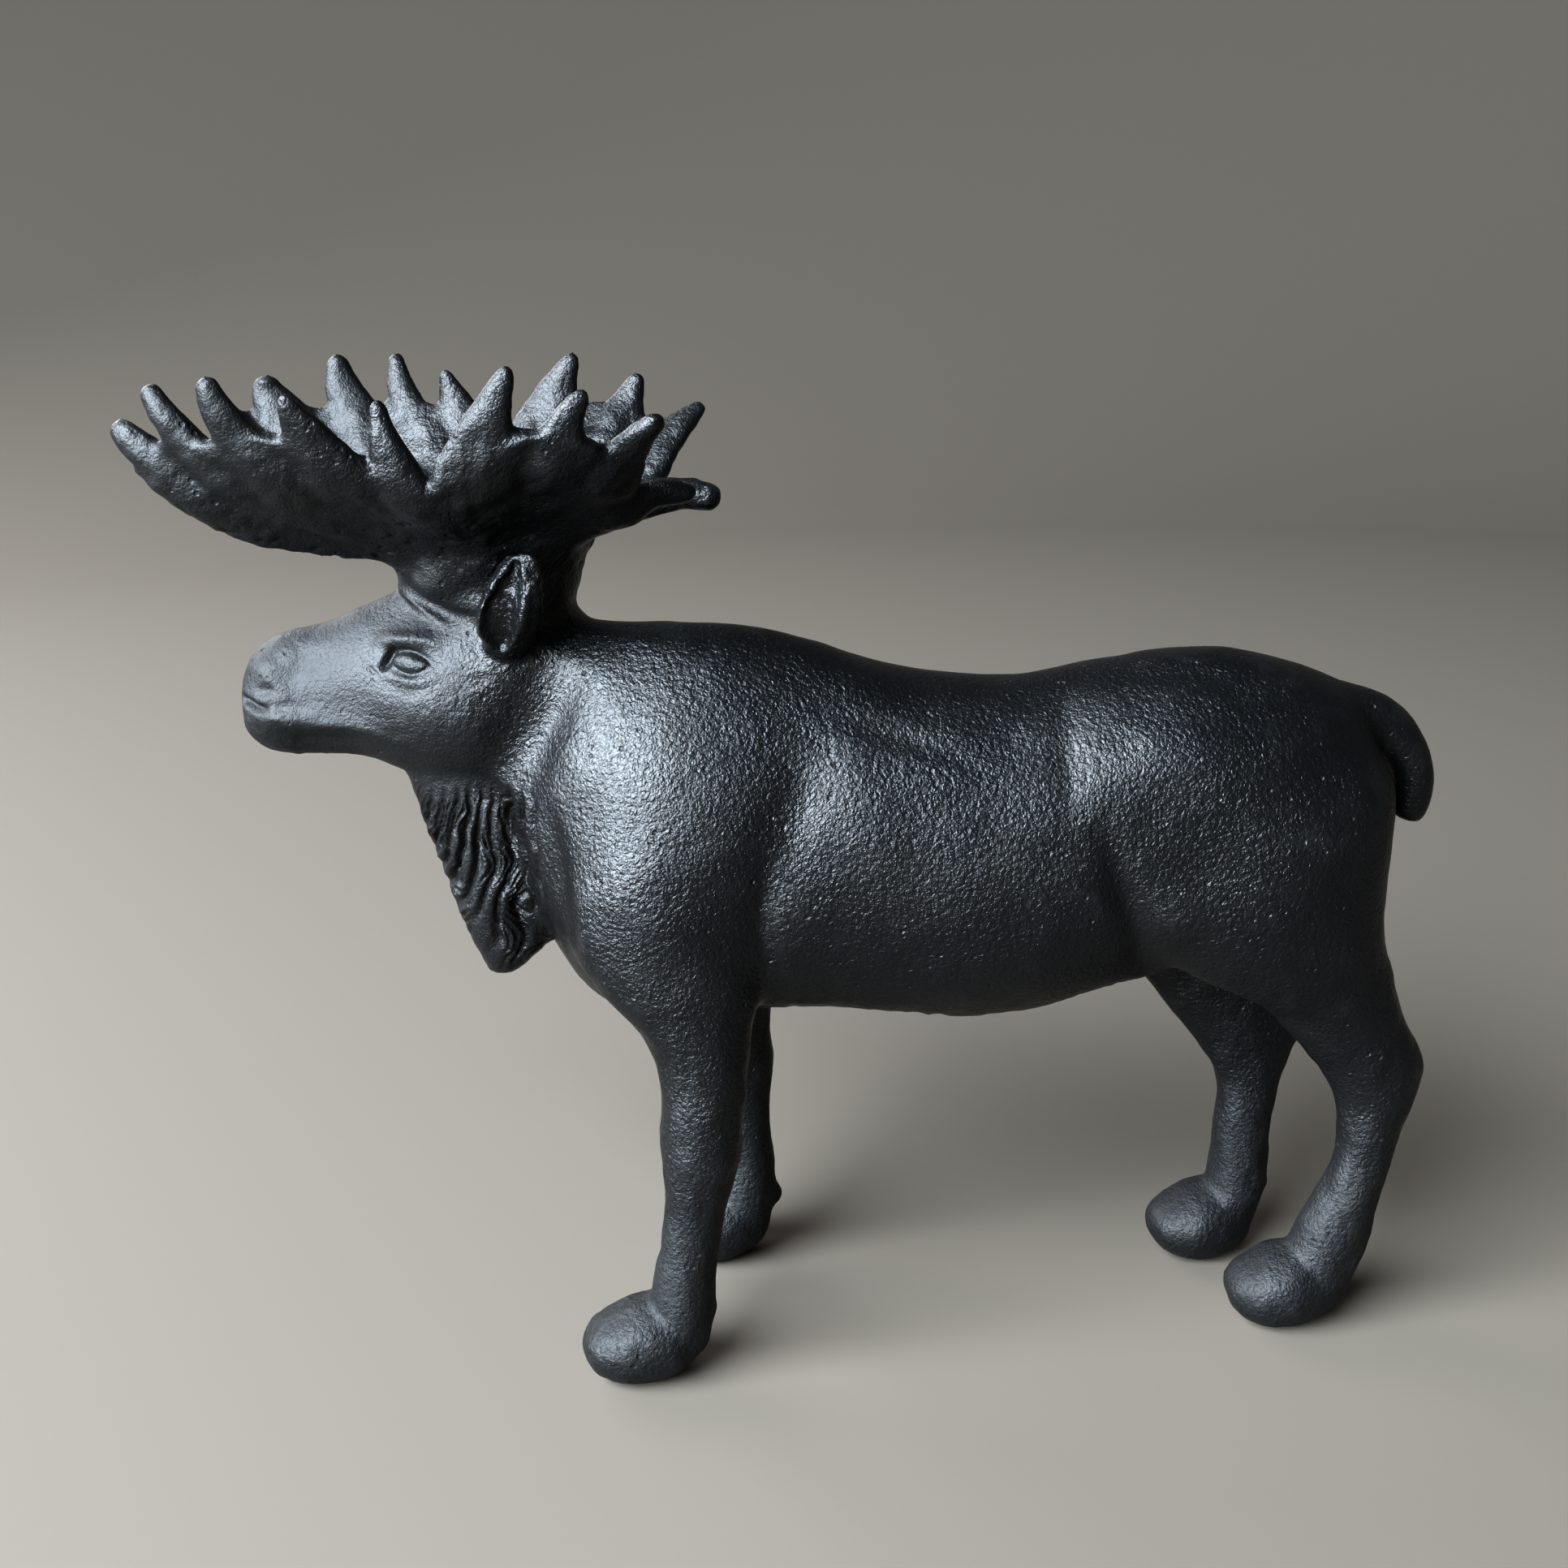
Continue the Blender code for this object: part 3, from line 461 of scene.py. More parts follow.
ears = {
    "foot": (-11.6, 13.4, 147.8),
    "curve": [(0, 0, 0), (0.077, 0.264, 0.434), (0.230, 0.306, 0.919)],  # from the foot, in lengths
    "across": (1.0, 0.16, 0.14),  # the way from the front edge to the rear one
    "grid": (60, 120),  # points along it and round it
    "length": 23.5,
    "width": 13.5,
    "thickness": 6.0,
    "leaf": (0.10, 0.87, 0.62),  # outline and thickness along the ear, as swell takes them
    "body": (0.25, 0.70, 0.6),
    "hollow": 2.9,
    "section": [(-1, 0), (-0.75, 0.5), (0.3, 1), (1, 0)],  # place across the hollow, share of its depth
    "opening": (-0.12, 0.60),  # the hollow's middle and half width, as shares of the half width
    "reach": (0.53, 0.41),  # its middle and half length, as shares of the length
    # ridges beside the hollow: place across it, width and height
    "ridges": {"rearEdge": (1.1, 0.26, 1.0), "frontLip": (-1.08, 0.24, 1.2), "groove": (-1.36, 0.13, -0.6)},
}


def ear(side):
    # a leaf along its curve. Its outer face, at a = cos(t) across, sinks in straight slopes to its
    # deepest line, with q = (a - middle) / half width, and height e^-((q - place) / width)^2 beside it
    along, size = ears["grid"]
    path = np.array(ears["foot"]) + through(ears["curve"], along) * ears["length"]
    s = np.linspace(0, 1, along)[:, None]
    turn = around(size)
    wide = ears["width"] / 2 * swell(s, *ears["leaf"]) * np.cos(turn)
    thick = ears["thickness"] / 2 * swell(s, *ears["body"])
    middle, half = ears["opening"]
    at, length = ears["reach"]
    gape = np.sqrt(np.clip(1 - ((s - at) / length) ** 2, 0.0, 1))
    q = (np.cos(turn) - middle) / (half * gape + 0.02)
    relief = -ears["hollow"] * np.interp(q, *zip(*ears["section"])) * gape**0.5
    for place, width, height in ears["ridges"].values():
        relief = relief + height * np.exp(-(((q - place) / width) ** 2)) * gape
    deep = thick * np.sin(turn) + relief * (np.sin(turn) > 0)
    acrossEar = np.array(ears["across"]) / np.linalg.norm(ears["across"])
    upEar = path[-1] - path[0]
    out = np.cross(upEar / np.linalg.norm(upEar), acrossEar)
    out *= np.sign(out[1]) / np.linalg.norm(out)
    return mirrored(skin(path[:, None] + wide[:, :, None] * acrossEar + deep[:, :, None] * out), side)


def headShapes():
    yield ringsAcross([row + (0, head["narrow"]) for row in head["rows"]])
    for rows in (dewlap["rows"], head["crown"]):
        yield ringsLevel([row[:3] + (0, row[3]) for row in rows])
    for side, name in ((-1, "near"), (1, "far")):
        notches, tips, shares = (antlers[name + part] for part in ("Notches", "Tips", "Shares"))
        yield ear(side)
        yield palm(notches, side)
        for number in range(len(tips)):
            yield tine(number, notches, tips, shares, side)


skinMaking = {
    "voxel": 0.6,  # pitch of the skin that fuses the shapes
    "triangles": 190000,
    "keepShare": 0.02,  # how strongly the fine places are spared when the mesh is thinned
}


def inScene(name, data):
    thing = bpy.data.objects.new(name, data)
    bpy.context.collection.objects.link(thing)
    return thing


def changed(shape):
    # the mesh with its modifiers applied; the object goes
    mesh = bpy.data.meshes.new_from_object(shape.evaluated_get(bpy.context.evaluated_depsgraph_get()))
    bpy.data.objects.remove(shape)
    return mesh


def fusedMesh():
    points, faces, count = [], [], 0
    for more, theirs in [*trunkAndLegs(), *map(inBody, headShapes())]:
        points.append(more)
        faces += [[count + corner for corner in face] for face in theirs]
        count += len(more)
    mesh = bpy.data.meshes.new("shapes")
    mesh.from_pydata(np.vstack(points).tolist(), [], faces)
    mesh.validate()
    shape = inScene("shapes", mesh)
    remesh = shape.modifiers.new("Fuse", "REMESH")
    remesh.mode = "VOXEL"
    remesh.voxel_size = skinMaking["voxel"]
    remesh.adaptivity = 0
    return changed(shape)


def refined(mesh, chosen):
    # halves the edges between chosen vertices, which divides a face inside into four
    work = bmesh.new()
    work.from_mesh(mesh)
    work.verts.ensure_lookup_table()
    edges = [edge for edge in work.edges if chosen[edge.verts[0].index] and chosen[edge.verts[1].index]]
    bmesh.ops.subdivide_edges(work, edges=edges, cuts=1, use_grid_fill=True)
    work.to_mesh(mesh)
    work.free()


def thinned(mesh, fine):
    # collapses edges, most of them where the fine weight is small
    shape = inScene("whole", mesh)
    group = shape.vertex_groups.new(name="coarse")
    steps = np.round(10 * (1 - fine)).astype(int)
    for step in range(1, 11):
        group.add(np.flatnonzero(steps == step).tolist(), step / 10, "REPLACE")
    thin = shape.modifiers.new("Thin", "DECIMATE")
    thin.use_collapse_triangulate = True
    thin.vertex_group = group.name
    thin.vertex_group_factor = skinMaking["keepShare"]
    thin.ratio = skinMaking["triangles"] / (2 * len(mesh.polygons))
    fewer = changed(shape)
    print("thinned:", len(fewer.polygons), "triangles")
    return fewer


def vectors(mesh, name):
    # a vector for each vertex: "co" for its place, "normal" for its normal
    found = np.empty(len(mesh.vertices) * 3)
    mesh.vertices.foreach_get(name, found)
    return found.reshape(-1, 3)


def setPlaces(mesh, points):
    mesh.vertices.foreach_set("co", points.ravel())
    mesh.update()


def edgeEnds(mesh):
    ends = np.empty(len(mesh.edges) * 2, np.int32)
    mesh.edges.foreach_get("vertices", ends)
    return ends.reshape(-1, 2).T


def neighbourMean(values, ends):
    # for each vertex the mean of its neighbours' values
    a, b = ends
    count = len(values)
    share = np.bincount(a, minlength=count) + np.bincount(b, minlength=count)
    columns = values.reshape(count, -1).T
    total = [np.bincount(a, column[b], count) + np.bincount(b, column[a], count) for column in columns]
    return (np.stack(total, axis=-1) / share[:, None]).reshape(values.shape)


def smoothed(points, ends, weight, passes):
    # each pass moves a point by its weight towards the mean of its neighbours
    for _ in range(passes):
        points = points + weight[:, None] * (neighbourMean(points, ends) - points)
    return points


def latticeNoise(places, pitch, seed):
    # random heights from -1 to 1 on a lattice of that pitch, blended by 3t^2 - 2t^3 along each axis
    scaled = places / np.array(pitch)
    low = np.floor(scaled.min(axis=0)).astype(int)
    scaled = scaled - low
    size = np.ceil(scaled.max(axis=0)).astype(int) + 2
    heights = np.random.default_rng(seed).uniform(-1, 1, size)
    cell = np.floor(scaled).astype(int)
    t = scaled - cell
    t = t * t * (3 - 2 * t)
    total = np.zeros(len(places))
    for corner in np.ndindex(*[2] * places.shape[1]):
        share = np.prod(np.where(corner, t, 1 - t), axis=1)
        total += share * heights[tuple((cell + corner).T)]
    return total


def layers(places, rows):
    # noise of several pitches: rows of pitch, height and seed
    return sum(height * latticeNoise(places, pitch, seed) for pitch, height, seed in rows)


def alongLine(places, line):
    # distance to the nearest place on the line, and that place as a share of the line
    best = np.full(len(places), np.inf)
    share = np.zeros(len(places))
    for number, (a, b) in enumerate(zip(line[:-1], line[1:])):
        part = np.clip((places - a) @ (b - a) / ((b - a) @ (b - a)), 0, 1)
        apart = np.linalg.norm(places - a - part[:, None] * (b - a), axis=1)
        share = np.where(apart < best, (number + part) / (len(line) - 1), share)
        best = np.minimum(best, apart)
    return best, share


def besideEar(here, low, high):
    # 1 within low of either ear's curve, 0 beyond high
    line = np.array(ears["foot"]) + np.array(ears["curve"]) * ears["length"]
    return 1 - ramp(alongLine(here * (1, 0, 1) + np.abs(here) * (0, 1, 0), line)[0], low, high)


def stroke(places, line, width, height):
    # height e^-(d / width)^2 from a smooth line, fading towards its ends by 4 s (1 - s)
    line = through(line, 24)
    inside = (places > line.min(axis=0) - 3 * width) & (places < line.max(axis=0) + 3 * width)
    near = np.flatnonzero(inside.all(axis=1))
    move = np.zeros(len(places))
    apart, share = alongLine(places[near], line)
    move[near] = height * np.exp(-((apart / width) ** 2)) * 4 * share * (1 - share)
    return move


def spot(places, middle, reach, height):
    # height e^-(x^2 + z^2), x and z as shares of the reach
    apart = (places - np.array(middle)) / np.array(reach)
    return height * np.exp(-np.sum(apart**2, axis=1))


def carving(places, table):
    move = sum(stroke(places, *row) for row in table["lines"])
    return move + sum(spot(places, *row) for row in table["spots"])


# Carving in the side view. Lines hold their places, a width and a height; spots hold a middle,
# a reach along both axes and a height. Body x, z for the flanks; head x, z for face and crown.
# "turned" is how far a surface faces sideways where the carving starts and where it is full.
flanks = {
    "turned": (0.15, 0.6),
    "above": (70, 84),  # z and x over which the carving comes in
    "behind": (-66, -56),
    "lines": [
        ([(0, 136), (-6, 122), (-11, 110), (-13, 98), (-12, 84)], 5.5, -1.3),  # behind the shoulder
        ([(-11, 114), (-13.2, 100), (-12.6, 88), (-11.5, 78)], 2.2, -0.8),  # behind the elbow
        ([(-44, 146), (-54, 131), (-58, 114)], 3.4, -1.1),  # before the shoulder
        ([(50, 118), (54.5, 104), (57.5, 96), (60, 86), (62, 80)], 3.2, -1.9),  # flank fold
        ([(74, 136), (84, 135), (94, 130)], 2.2, -0.5),  # edge of the rump
        ([(-6, 138.5), (6, 134.2), (14, 131.5), (22, 128.6), (31, 123)], 1.8, -0.45),  # below the spine
        ([(46.5, 141), (45.4, 129), (45.0, 114)], 3.0, -0.7),  # before the hip
        ([(50, 141.5), (60, 140), (72, 139.3), (90, 137.4)], 1.7, -0.6),  # above the hip
        ([(-53, 122), (-51.5, 108), (-51, 96), (-53, 86)], 2.2, -1.3),  # behind the dewlap
    ],
    "spots": [
        ((-32, 122), (17, 26), 2.4),  # shoulder
        ((7, 118), (10, 20), 1.0),  # ribs
        ((66, 126.5), (16, 10), 2.3),  # hip
        ((80, 108), (17, 17), 1.6),  # thigh
        ((66, 95), (7, 7), 1.9),  # stifle
    ],
}
face = {
    "turned": (0.25, 0.6),
    "above": (118, 122),
    "below": (156, 159),
    "lines": [
        ([(-40.3, 146.4), (-38.9, 144.9), (-36.9, 144.1)], 0.6, -0.35),  # wrinkle before the eye
        # brow, and the hollow above it
        ([(-39.5, 149.6), (-35.2, 150.6), (-31.8, 150.6), (-28.6, 150.6), (-24.0, 149.6)], 1.3, 1.35),
        ([(-41, 153.0), (-35, 154.6), (-28, 154.8), (-21, 153.5)], 2.6, -0.8),
        ([(-71, 139.8), (-66.3, 138.3), (-63.4, 137.4), (-60.0, 137.0)], 0.8, -1.7),  # mouth
        ([(-61.5, 137.0), (-57, 137.3), (-52, 137.6)], 1.0, -0.35),
        ([(-64.2, 135.7), (-60, 135.7), (-55, 135.9), (-49, 136.0)], 1.2, 0.5),  # lower lip
        # the jaw's edge, its fuller rear part and the hollow below it
        ([(-65, 134.8), (-58, 134.4), (-50, 134.2), (-43, 133.6), (-36.3, 131.2), (-31, 127.5)], 1.4, 0.6),
        ([(-63, 135.4), (-56, 134.8), (-48, 134.6), (-42, 133.8), (-36, 131.4)], 2.8, 0.8),
        ([(-63, 131.4), (-56, 130.8), (-48, 130.6), (-42, 130.0)], 1.8, -0.6),
        ([(-58.2, 141.0), (-54.6, 144.0), (-50.2, 147.8)], 2.4, -0.7),  # behind the nose
        ([(-1, 147), (-6, 139), (-11, 131), (-16, 123)], 6.5, -2.7),  # behind the cheek
    ],
    "spots": [
        ((-32.0, 147.0), (6.6, 4.0), -0.8),  # eye socket
        ((-60.9, 140.7), (2.0, 1.0), -0.7),  # nostril
        ((-61.8, 144.8), (3.2, 2.4), 0.7),  # nose
        ((-30.4, 150.6), (0.5, 0.6), -0.3),  # nick in the brow
        ((-27.5, 137.5), (7.5, 7.5), 1.0),  # cheek
    ],
}
crown = {
    "turned": (0.05, 0.3),
    "lines": [
        # rim of the forehead, and the hollow above it
        ([(-37, 160.9), (-33.4, 159.2), (-30, 156.7), (-27.3, 155.2), (-23.6, 153.2)], 0.8, 0.8),
        ([(-37, 162.6), (-32.8, 160.9), (-29.2, 158.3), (-26.2, 156.7), (-22, 155.2), (-14, 155.4)],
         1.2, -1.2),
        ([(-27.5, 172.9), (-23.7, 171.2), (-18.9, 170.5), (-13.5, 169.5), (-5, 168.6)], 0.4, -0.3),  # seam
    ],
    "spots": [
        ((-25.5, 161.6), (4.4, 3.4), 1.5),  # swelling under the antler
        ((-31.0, 165.0), (2.6, 2.6), 0.5),
        ((-18.5, 160.2), (3.4, 2.6), -0.7),
        ((-14.5, 165.0), (3.6, 2.4), 0.5),
    ],
}
eye = {
    "middle": (-31.1, 146.5),
    "half": (4.0, 1.95),  # half length and height of the opening
    "slope": -0.08,
    "dome": 1.1,
    "turned": (0.25, 0.6),
    "before": (-20, -14),  # x over which the carving goes
    "lines": [
        ([(-33.8, 149.2), (-34.9, 147.9), (-36.0, 146.2), (-37.4, 144.8)], 0.85, -1.25),  # inner corner
        ([(-36.2, 147.6), (-33.2, 148.6), (-30.4, 148.4), (-27.6, 147.2), (-25.0, 145.8)], 0.7, -0.5),
        ([(-34.6, 145.1), (-31, 144.3), (-28.6, 144.7)], 0.5, -0.2),
        # lower lid, and the crease under it
        ([(-38.4, 145.2), (-34.4, 143.7), (-31.2, 143.1), (-28.2, 143.4), (-24.6, 144.8)], 1.0, 0.5),
        ([(-37.6, 143.0), (-33, 141.3), (-30, 141.0), (-25.0, 142.4)], 1.3, -0.15),
    ],
}


def sideways(facing, table):
    return ramp(np.abs(facing[:, 1]), *table["turned"])


def carvedFlanks(points, normals):
    body = ramp(points[:, 2], *flanks["above"]) * ramp(points[:, 0], *flanks["behind"])
    return carving(points[:, [0, 2]], flanks) * sideways(normals, flanks) * body


def carvedHead(here, facing):
    places = here[:, [0, 2]]
    level = ramp(here[:, 2], *face["above"]) * fall(here[:, 2], *face["below"])
    move = carving(places, face) * sideways(facing, face) * level
    return move + carving(places, crown) * sideways(facing, crown)


def carvedEye(here, facing):
    # dome (1 - r^2)^0.7 inside an almond r = 1, whose height falls off as the square of x
    x = here[:, 0] - eye["middle"][0]
    z = here[:, 2] - eye["middle"][1] - eye["slope"] * x
    x = x / eye["half"][0]
    z = z / eye["half"][1]
    r = np.hypot(x, z / (1 - 0.35 * x**2).clip(0.3))
    move = eye["dome"] * np.clip(1 - r**2, 0, 1) ** 0.7
    lids = sum(stroke(here[:, [0, 2]], *row) for row in eye["lines"])
    return (move + lids) * sideways(facing, eye) * fall(here[:, 0], *eye["before"])


def carvedLocks(here, facing):
    # cos grooves of ahead = (lockRear - x) e^(lockSwing up), strayed by noise, and finer strands
    throat = fall(here[:, 2], 115, 123) * ramp(here[:, 2], 77, 82) * fall(here[:, 0], -9, -7)
    bend, steep = dewlap["lockBend"]
    up = here[:, 2] - dewlap["rows"][-1][0]
    up = bend * (1 - np.exp(-up / bend)) * steep
    stray = layers(here, dewlap["stray"])
    ahead = (dewlap["lockRear"] - here[:, 0]) * np.exp(dewlap["lockSwing"] * up) + stray
    deep = (0.65 + layers(here, dewlap["uneven"])).clip(0.1)
    locks = (0.5 - 0.5 * np.cos(2 * math.pi * ahead / dewlap["lockSpacing"])) ** 3
    strands = 2 * math.pi * (ahead + 1.5 * stray) / dewlap["lockSpacing"] * dewlap["strandsPerLock"]
    fine = (0.5 - 0.5 * np.cos(strands)) ** 2
    broken = ramp(layers(here, dewlap["breaks"]), -0.3, 0.6)
    move = -dewlap["lockDepth"] * deep * locks - dewlap["strandDepth"] * fine * broken
    return move * throat * (0.15 + 0.85 * ramp(np.abs(facing[:, 1]), 0.1, 0.5))


# Noise of the cast, as rows of pitch, height and seed. The noise of each place is then multiplied
# by the height or depth in mm that follows its rows.
casting = {
    "swells": [(11.0, 0.24, 11), (5.0, 0.15, 12), (2.3, 0.03, 13)],  # everywhere, heights in mm
    "cheek": [(1.4, 1.0, 14)],
    "cheekHeight": 0.16,
    "bark": [((2.4, 2.4, 4.2), 1.0, 15), ((1.5, 1.5, 2.6), 0.6, 16)],  # on the legs
    "barkHeight": 0.2,
    "horn": [(3.6, 1.0, 17), (1.8, 0.7, 18)],  # on the antlers
    "hornHeight": 0.28,
    "ear": [(1.3, 1.0, 25)],
    "earHeight": 0.22,
    "pits": [(1.5, 1.0, 19)],  # round the antlers' foot
    "pitPatches": [(9.0, 1.0, 20)],
    "pitDepth": 0.45,
    "streaks": [((5.0, 22.0, 9.0), 1.0, 31), ((5.0 / 2.2, 11.0, 5.0), 0.5, 32)],  # as carvedAntlers says
    "streakMiddle": (-14.0, 152.0),  # head x and z that they radiate from
    "streakDepth": 0.32,
}


def carvedAntlers(here):
    # noise of the degrees round the streaks' middle, the distance from it and the place across
    x, z = here[:, 0] - casting["streakMiddle"][0], here[:, 2] - casting["streakMiddle"][1]
    polar = np.stack([np.degrees(np.arctan2(z, x)), np.hypot(x, z), here[:, 1]], axis=-1)
    grown = ramp(here[:, 2], 166, 176)
    slim = 1 - 0.6 * ramp(here[:, 2], 188, 196)
    return casting["streakDepth"] * layers(polar, casting["streaks"]) * grown * slim


def castNoise(points, here):
    # lumps of the cast: wide ones everywhere, finer ones on cheek, muzzle, legs, ears and antlers
    names = ("swells", "cheek", "bark", "horn", "ear", "pits", "pitPatches")
    noise = {name: layers(points, casting[name]) for name in names}
    x, z = here[:, 0], here[:, 2]
    cheek = spot(here[:, [0, 2]], (-19, 139), (9, 11), 1.0) + 0.4 * fall(x, -30, -20) * fall(z, 136, 142)
    cheek = cheek + 0.7 * fall(x, -56, -46)
    shanks = 1 - ramp(points[:, 2], 70, 100)
    horn = ramp(z, 157, 163) * (1 - 0.6 * ramp(z, 186, 196))
    pits = ramp(noise["pits"], 0.35, 0.75) * horn * fall(z, 170, 184)
    pits = pits * ramp(noise["pitPatches"], -0.2, 0.3)
    fine = casting["cheekHeight"] * noise["cheek"] * cheek.clip(0, 1)
    fine += casting["barkHeight"] * noise["bark"] * shanks
    move = noise["swells"] + fine
    move += casting["earHeight"] * noise["ear"] * besideEar(here, 6.0, 9.0)
    return move + casting["hornHeight"] * noise["horn"] * horn - casting["pitDepth"] * pits


easing = {
    "passes": 39,
    "flankPasses": 125,
    "flankWeight": 0.7,
    "weight": 0.5,  # and how much of it each of these places loses
    "lost": {"hooves": 0.7, "antlers": 0.8, "face": 0.65, "ears": 0.95},
    "funnelMiddle": -16,  # head x of the round join between the crown and the palms
    "funnelRadius": 24,
    "fineFrom": 3,  # how far from the head's middle the mesh gets finer
    # and the corners in head x, z of the places where it does: face, crown and dewlap
    "fineBoxes": [((-70, 133), (-22, 155)), ((-37, 152), (-3, 175)), ((-41, 79), (-6, 124))],
}


def eased(mesh):
    # rounds the joins: most on the flanks and where the palms leave the crown, least on fine forms
    points = vectors(mesh, "co")
    here = inHead(points)
    x, z = here[:, 0], here[:, 2]
    low = 1 - ramp(points[:, 2], 18, 30)
    antler = ramp(z, 166, 174)
    front = fall(x, -24, -14) * (1 - antler)
    earPart = besideEar(here, 7.0, 9.0) * fall(z, 168, 171)
    weight = easing["weight"]
    for name, place in (("hooves", low), ("antlers", antler), ("face", front), ("ears", earPart)):
        weight = weight * (1 - easing["lost"][name] * place)
    sides = ramp(points[:, 2], 84, 100) * ramp(points[:, 0], -62, -52) * fall(points[:, 0], 90, 103)
    sides *= fall(z, 140, 150)
    radius = easing["funnelRadius"]
    apart = np.hypot((x - easing["funnelMiddle"]) / radius, here[:, 1] / radius)
    funnel = ramp(z, 157, 164) * fall(z, 177, 186) * (1 - earPart) * (1 - ramp(apart, 0.9, 1.3))
    ends = edgeEnds(mesh)
    most = easing["flankWeight"] * np.maximum(sides, funnel)
    points = smoothed(points, ends, most, easing["flankPasses"])
    points = smoothed(points, ends, weight, easing["passes"])
    setPlaces(mesh, points)
    return points, earPart


def fineness(points, here):
    # 1 where small triangles are kept, 0 where they may be merged first
    x, z = here[:, 0], here[:, 2]
    front = fall(x, -26, -20) * ramp(z, 128, 133) * fall(z, 156, 160)
    eyes = spot(here[:, [0, 2]], (-31, 147), (9, 6), 1.0)
    throat = fall(x, -10, -6) * fall(z, 120, 126) * ramp(z, 74, 78)
    top = ramp(z, 152, 156)
    low = 1 - ramp(points[:, 2], 18, 30)
    return np.clip(0.6 * front + eyes * front + 0.6 * throat + 0.5 * top, 0, 1) * (1 - low)


def divided(mesh, points, earPart):
    # a finer mesh in the boxes and on the ears
    here = inHead(points)
    places = here[:, [0, 2]]
    inside = [((places > low) & (places < high)).all(axis=1) for low, high in easing["fineBoxes"]]
    chosen = (np.abs(here[:, 1]) > easing["fineFrom"]) & np.any(inside, axis=0) | (earPart > 0.5)
    refined(mesh, chosen)
    points = vectors(mesh, "co")
    points = smoothed(points, edgeEnds(mesh), np.full(len(points), 0.5), 2)
    setPlaces(mesh, points)
    return points


def carved(mesh, points):
    # moves each vertex along its normal: first the forms, then the eye and the lumps of the cast
    normals = vectors(mesh, "normal")
    here = inHead(points)
    facing = normals @ axes.T
    move = carvedFlanks(points, normals) + carvedHead(here, facing) + carvedLocks(here, facing)
    move += carvedAntlers(here)
    points = smoothed(points + normals * move[:, None], edgeEnds(mesh), np.full(len(points), 0.4), 2)
    setPlaces(mesh, points)
    normals = vectors(mesh, "normal")
    here = inHead(points)
    move = carvedEye(here, normals @ axes.T) + castNoise(points, here)
    points = points + normals * move[:, None]
    points[:, 2] = points[:, 2].clip(tableOrigin[2])
    setPlaces(mesh, points)
    return fineness(points, here)


def figure():
    mesh = fusedMesh()
    print("shapes fused:", len(mesh.polygons), "faces")
    points, earPart = eased(mesh)
    print("joins eased")
    points = divided(mesh, points, earPart)
    print("fine places divided:", len(mesh.polygons), "faces")
    fine = carved(mesh, points)
    print("carved")
    return thinned(mesh, fine)


def fitted(mesh):
    # each axis is stretched so that the figure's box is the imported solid's box
    points = vectors(mesh, "co")
    low, high = points.min(axis=0), points.max(axis=0)
    boxLow, boxHigh = (np.array(corner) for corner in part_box("moose"))
    print("fit", np.round((boxHigh - boxLow) / (high - low) * 1000, 4))
    setPlaces(mesh, boxLow + (points - low) / (high - low) * (boxHigh - boxLow))
    return mesh


paint = {
    "colour": (0.0032, 0.0034, 0.0038),
    # a lighter colour for the ridges: a painted highlight of their bright rims, not wear of the paint
    "ridgeHighlightColour": (0.010, 0.0104, 0.011),
    "dust": (0.008, 0.0068, 0.0052),
    "dustShare": 0.12,  # in patches
    "hollowDust": 0.35,  # in the hollows
    "dustPatches": (0.45, 0.70),  # spans of noise over which dust, the painted highlight on the ridges and roughness come in
    "wearPatches": (0.45, 0.65),
    "roughPatches": (0.3, 0.7),
    "roughness": (0.30, 0.37),
    "hoofRoughness": 0.26,  # added low on the legs
    "faceRoughness": 0.42,  # added where the cast is fine
    "pitRoughness": 0.15,
    "ridgePolish": 0.05,  # taken off on the ridges
    "specular": 0.36,
    "peelScale": 1150,  # cells to the metre
    "cellScale": 920,
    "grainScale": 2600,
    "pitScale": 420,
    "pitSize": (0.10, 0.26),  # in cells, from a pit's floor to its edge
    "pitPatches": (0.52, 0.62),
    "cloudScale": 60,  # patches of dust
    "patchScale": 170,  # patches of the painted ridge highlight and of pits
    "cellShare": 0.45,  # heights against that of the peel
    "grainShare": 0.45,
    "pitShare": 0.7,
    "peelHeight": 0.00026,
    "ridge": (0.03, 0.12),  # mm above the neighbours' mean where a ridge starts and is full
    "hollow": (0.02, 0.10),
}


def markedForPaint(mesh):
    # "ridge" and "hollow": how far a vertex stands above or below the mean round it; "grain": how
    # rough the cast is there; "shank": 1 at the hooves
    points = vectors(mesh, "co")
    ends = edgeEnds(mesh)
    normals = vectors(mesh, "normal")
    lifted = np.sum((points - neighbourMean(points, ends)) * normals, axis=1) * 1000
    for _ in range(3):
        lifted = 0.5 * lifted + 0.5 * neighbourMean(lifted, ends)
    here = inHead(points * 1000 + np.array(tableOrigin))
    x, z = here[:, 0], here[:, 2]
    muzzle = fall(x, -52, -34)
    antler = ramp(z, 164, 174)
    front = fall(x, -24, -14) * (1 - antler)
    marks = {
        "ridge": ramp(lifted, *paint["ridge"]),
        "hollow": ramp(-lifted, *paint["hollow"]),
        "grain": (1 - 0.35 * front) * (1 - 0.25 * muzzle) * (1 - 0.17 * antler),
        "shank": 1 - ramp(points[:, 2] * 1000, 18, 70),
    }
    for name, values in marks.items():
        layer = mesh.attributes.new(name, "FLOAT", "POINT")
        layer.data.foreach_set("value", values.astype(np.float32))
    return mesh


def setInputs(node, values):
    for name, value in values.items():
        node.inputs[name].default_value = value


